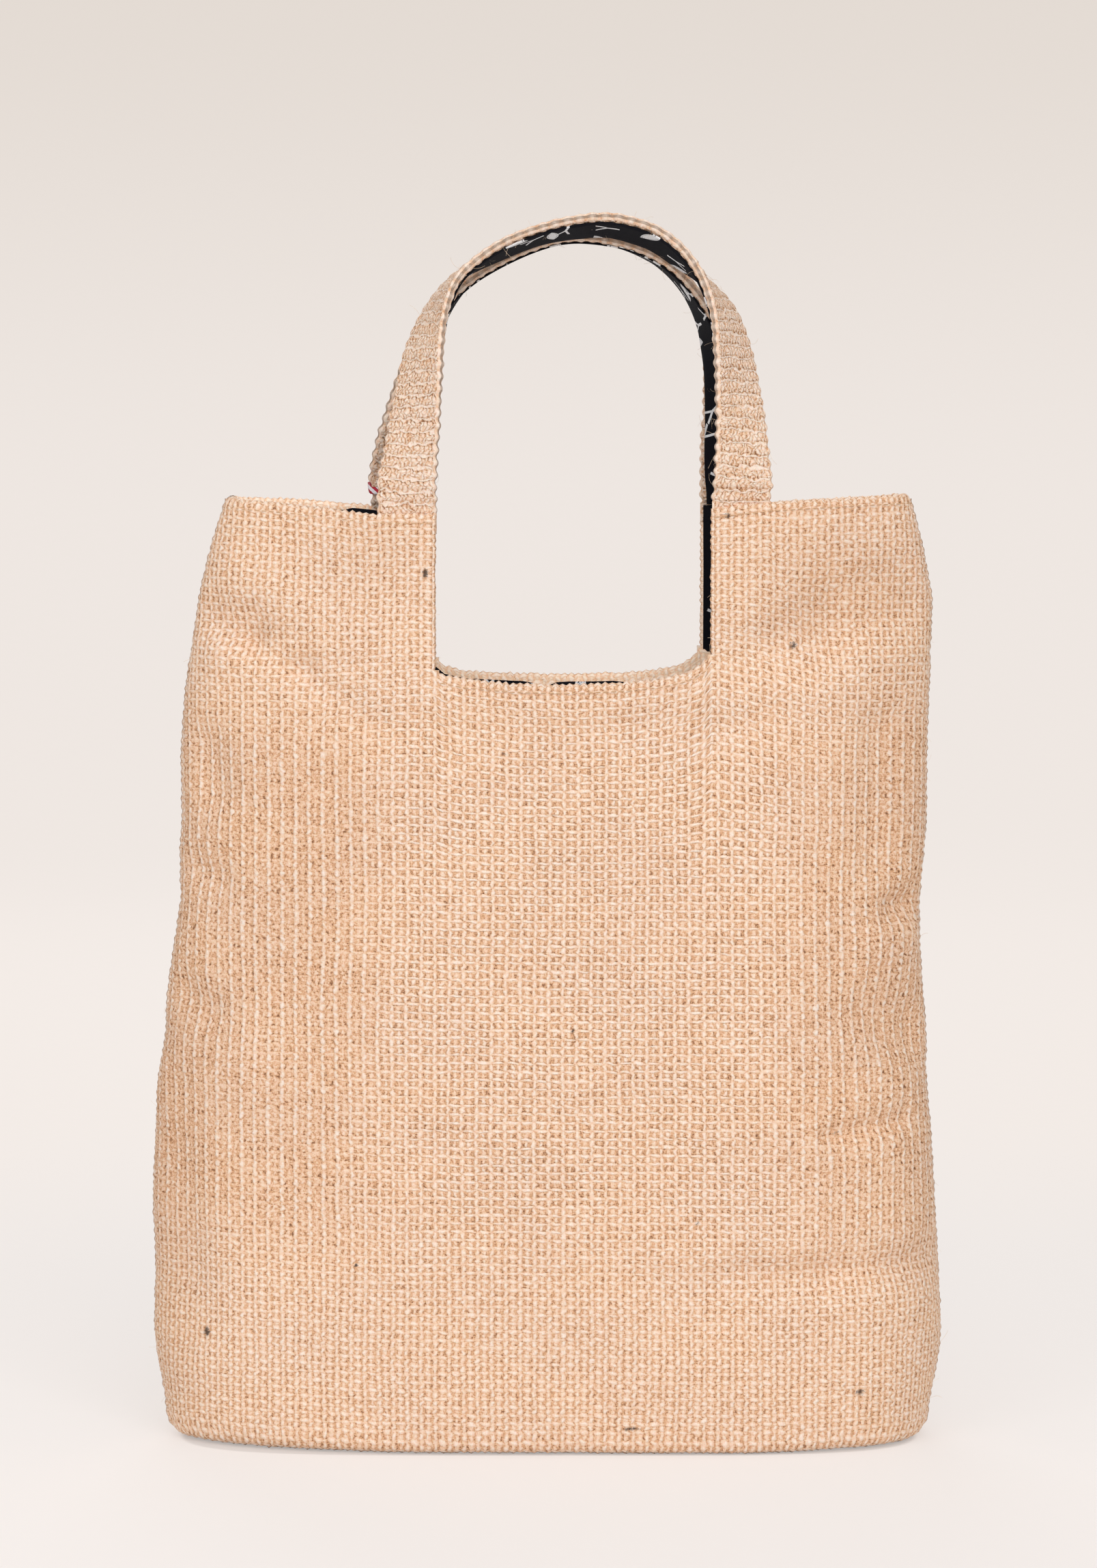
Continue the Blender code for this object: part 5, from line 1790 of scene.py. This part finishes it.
# %% Lay the paper
ROOM_RADIUS = 7.0      # metres, as all sizes in this cell
ROOM_LEVEL = 0.5       # radius of the paper's middle piece
ROOM_CURVE = 4.0
ROOM_TOP = 4.5
ROOM_PARTS = 96
CARD_WIDTH = 16.0
CARD_FRONT = -3.2
CARD_BACK = 7.2
CARD_CURVE = 4.0
CARD_TOP = 4.5
CARD_BELOW = 0.002
CURVE_PARTS = 24
CARD_HIGH = (0.36, 0.33, 0.315)      # the card's colour at its upright end
CARD_GLOW_LOW = (0.505, 0.490, 0.478)
CARD_GLOW_HIGH = (0.445, 0.436, 0.420)
CARD_NEAR = 0.15       # the card's share of glow in front of the bag
CARD_UNDER = 0.5       # and its share below the bag
CARD_FOOT = (0.189, 0.056)           # half the length and depth of that place
PAPER_UNDER = 0.72     # the paper's share of glow below the bag: a painted contact shadow
PAPER_FOOT = (0.187, 0.055)
NEAR_COLOUR = (0.42, 0.39, 0.375)    # round the bag the paper takes light and shade
NEAR_GLOW = (0.505, 0.490, 0.478)
FAR_COLOUR = (0.03, 0.029, 0.028)    # far away it is even, and nearly all glow
FAR_GLOW = (0.835, 0.775, 0.735)
HIGH_GLOW = (0.752, 0.688, 0.635)    # and a little less bright high up
GRAIN_COLOUR = (0.30, 0.27, 0.25)


def place_on_paper(mix):
    """The place as a vector, and its three parts."""
    spot = mix.node("ShaderNodeSeparateXYZ")
    where = mix.node("ShaderNodeTexCoord").outputs["Object"]
    mix.feed(spot.inputs[0], where)
    return where, spot.outputs


def clear_of_bag(mix, x, y, foot, under):
    """The share of glow: under below the bag's base, and 1 past its edge."""
    half_length, half_depth = foot
    along = mix.maths("POWER", mix.maths("DIVIDE", mix.maths("ABSOLUTE", x), half_length), 5.0)
    across = mix.maths("POWER", mix.maths("DIVIDE", mix.maths("ABSOLUTE", y), half_depth), 2.5)
    return mix.ramp(mix.plus(along, across), 0.97, 1.07, under, 1.0)


def mix_card():
    mix = Recipe("card_paper", 0.95)
    _, (x, y, z) = place_on_paper(mix)
    rise = mix.ramp(z, 0.0, 1.2)
    mix.feed(mix.shader.inputs["Emission Color"], mix.blend(rise, CARD_GLOW_LOW, CARD_GLOW_HIGH))
    spread = mix.ramp(y, -1.5, -0.5, CARD_NEAR, 1.0)
    clear = clear_of_bag(mix, x, y, CARD_FOOT, CARD_UNDER)
    mix.feed(mix.shader.inputs["Emission Strength"], mix.times(spread, clear))
    return mix.finish(mix.blend(rise, NEAR_COLOUR, CARD_HIGH))


def mix_paper():
    mix = Recipe("pale_paper", 0.95)
    where, (x, y, z) = place_on_paper(mix)
    away = mix.node("ShaderNodeVectorMath", operation="LENGTH")
    mix.feed(away.inputs[0], where)
    away = mix.ramp(away.outputs["Value"], 0.4, 1.3)
    grain = mix.ramp(mix.noise(where, 60.0, 3.0), 0.3, 0.7, 0.0, 0.012)
    far = mix.blend(mix.ramp(z, 0.4, 1.5), FAR_GLOW, HIGH_GLOW)
    mix.feed(mix.shader.inputs["Emission Color"], mix.blend(away, NEAR_GLOW, far))
    # Just under the bag's edge the paper glows less, a painted contact shadow
    clear = clear_of_bag(mix, x, y, PAPER_FOOT, PAPER_UNDER)
    mix.feed(mix.shader.inputs["Emission Strength"], clear)
    colour = mix.blend(away, NEAR_COLOUR, FAR_COLOUR)
    # Only cameras see the paper, so no surface needs to look for its glow
    mix.material.cycles.emission_sampling = "NONE"
    return mix.finish(mix.blend(grain, colour, GRAIN_COLOUR))


def curve_up(far, curve, top):
    """A profile, out and up, that leaves the level at far - curve and ends upright."""
    turns = [math.pi / 2 * k / CURVE_PARTS for k in range(CURVE_PARTS + 1)]
    bend = [(far - curve + curve * math.sin(a), curve * (1 - math.cos(a))) for a in turns]
    return bend + [(far, top)]


def make_paper():
    """The paper: a profile turned round the bag."""
    line = [(0.0, 0.0), (ROOM_LEVEL, 0.0)] + curve_up(ROOM_RADIUS, ROOM_CURVE, ROOM_TOP)
    turns = [math.tau * k / ROOM_PARTS for k in range(ROOM_PARTS)]
    points = [(r * math.cos(a), r * math.sin(a), z) for r, z in line for a in turns]
    cells = []
    for k in range(len(line) - 1):
        for n in range(ROOM_PARTS):
            a, b = k * ROOM_PARTS + n, k * ROOM_PARTS + (n + 1) % ROOM_PARTS
            cells.append([a, a + ROOM_PARTS, b + ROOM_PARTS, b])
    return make_piece("paper", np.array(points) * 1000, cells, mix_paper())


def make_card():
    """The reflector: the same curve, straight from side to side."""
    line = [(CARD_FRONT, 0.0)] + curve_up(CARD_BACK, CARD_CURVE, CARD_TOP)
    points = [(x, y, z - CARD_BELOW) for y, z in line for x in (-CARD_WIDTH / 2, CARD_WIDTH / 2)]
    cells = [[2 * k, 2 * k + 1, 2 * k + 3, 2 * k + 2] for k in range(len(line) - 1)]
    return make_piece("reflector", np.array(points) * 1000, cells, mix_card())


paper = make_paper()
paper.visible_diffuse = False
paper.visible_glossy = False
paper.visible_shadow = False
reflector = make_card()
reflector.visible_camera = False
reflector.visible_shadow = False
print("the paper curves up on all sides and is", ROOM_RADIUS, "m away at most")

# %% Hang the lights
WORLD = (1.0, 0.985, 0.97)
WORLD_STRENGTH = 0.40
AIM = (0, 0, 0.3)      # the middle of the bag
LIGHTS = [  # name, place, size in metres, watts, colour
    ("key", (0.6, -2.6, 1.7), 1.8, 35, (1.0, 0.98, 0.975)),
    ("fill", (-1.3, -2.4, 1.2), 1.8, 16, (1.0, 0.98, 0.985)),
    ("above", (0.0, -0.7, 2.8), 2.4, 17, (1.0, 0.985, 0.98)),
    ("behind", (-0.5, 2.8, 1.6), 1.8, 22, (1.0, 0.985, 0.98)),
]


def soft_light(name, place, size, power, colour):
    """A square area light that points at the bag."""
    data = bpy.data.lights.new(name, "AREA")
    data.shape = "SQUARE"
    data.size = size
    data.energy = power
    data.color = colour
    light = bpy.data.objects.new(name, data)
    light.location = place
    way = np.array(AIM) - np.array(place)
    light.rotation_euler = (math.acos(way[2] / np.linalg.norm(way) * -1.0), 0,
                            math.atan2(way[1], way[0]) - math.pi / 2)
    bpy.context.scene.collection.objects.link(light)


world = bpy.data.worlds.new("studio")
world.use_nodes = True
world.node_tree.nodes["Background"].inputs[0].default_value = (*WORLD, 1)
world.node_tree.nodes["Background"].inputs[1].default_value = WORLD_STRENGTH
bpy.context.scene.world = world
bpy.context.scene.view_settings.view_transform = "Standard"
for settings in LIGHTS:
    soft_light(*settings)
print(len(LIGHTS), "soft lights and an even world")

# %% [markdown]
# ## The cloth's sizes
#
# The walls, linings and straps are all cut from flat cloth, each to a size with its hems included.
# Here the widths of the cut are worked out and printed.

WALL_TALL = 477.0      # a wall's height along the cloth, without its hem
LINING_TALL = 476.0
FOOT_HEIGHT = 61       # where the cloth is widest


def declare(piece, length, held, rests_on):
    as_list(rests_on)


around = float(seam_length(-1, FOOT_HEIGHT) + seam_length(1, FOOT_HEIGHT))
average = float(np.mean([seam_length(-1, z) + seam_length(1, z) for z in range(0, 480, 20)]))
for piece, panel, tall, held, rests_on in (
        (front_weave, FRONT, WALL_TALL + HEM, "draped", "base_weave"),
        (back_weave, BACK, WALL_TALL + HEM, "draped", "base_weave"),
        (front_inside, FRONT, LINING_TALL, "hung", "front_weave"),
        (back_inside, BACK, LINING_TALL, "hung", "front_weave")):
    declare(piece, tall, held, [rests_on])
for piece, stations in ((front_band, front_stations), (back_band, back_stations)):
    declare(piece, strap_length(stations), "stretched", ["front_weave"])
for piece, stations in ((front_strip, front_stations), (back_strip, back_stations)):
    declare(piece, strap_length(stations), "laid", ["front_strap_weave"])
for piece, below in ((base_weave, []), (base_inside, ["base_weave"])):
    declare(piece, BASE_DEPTH, "laid", below)
print("cut widths of", round(around), "mm at the foot and", round(average), "mm on average")
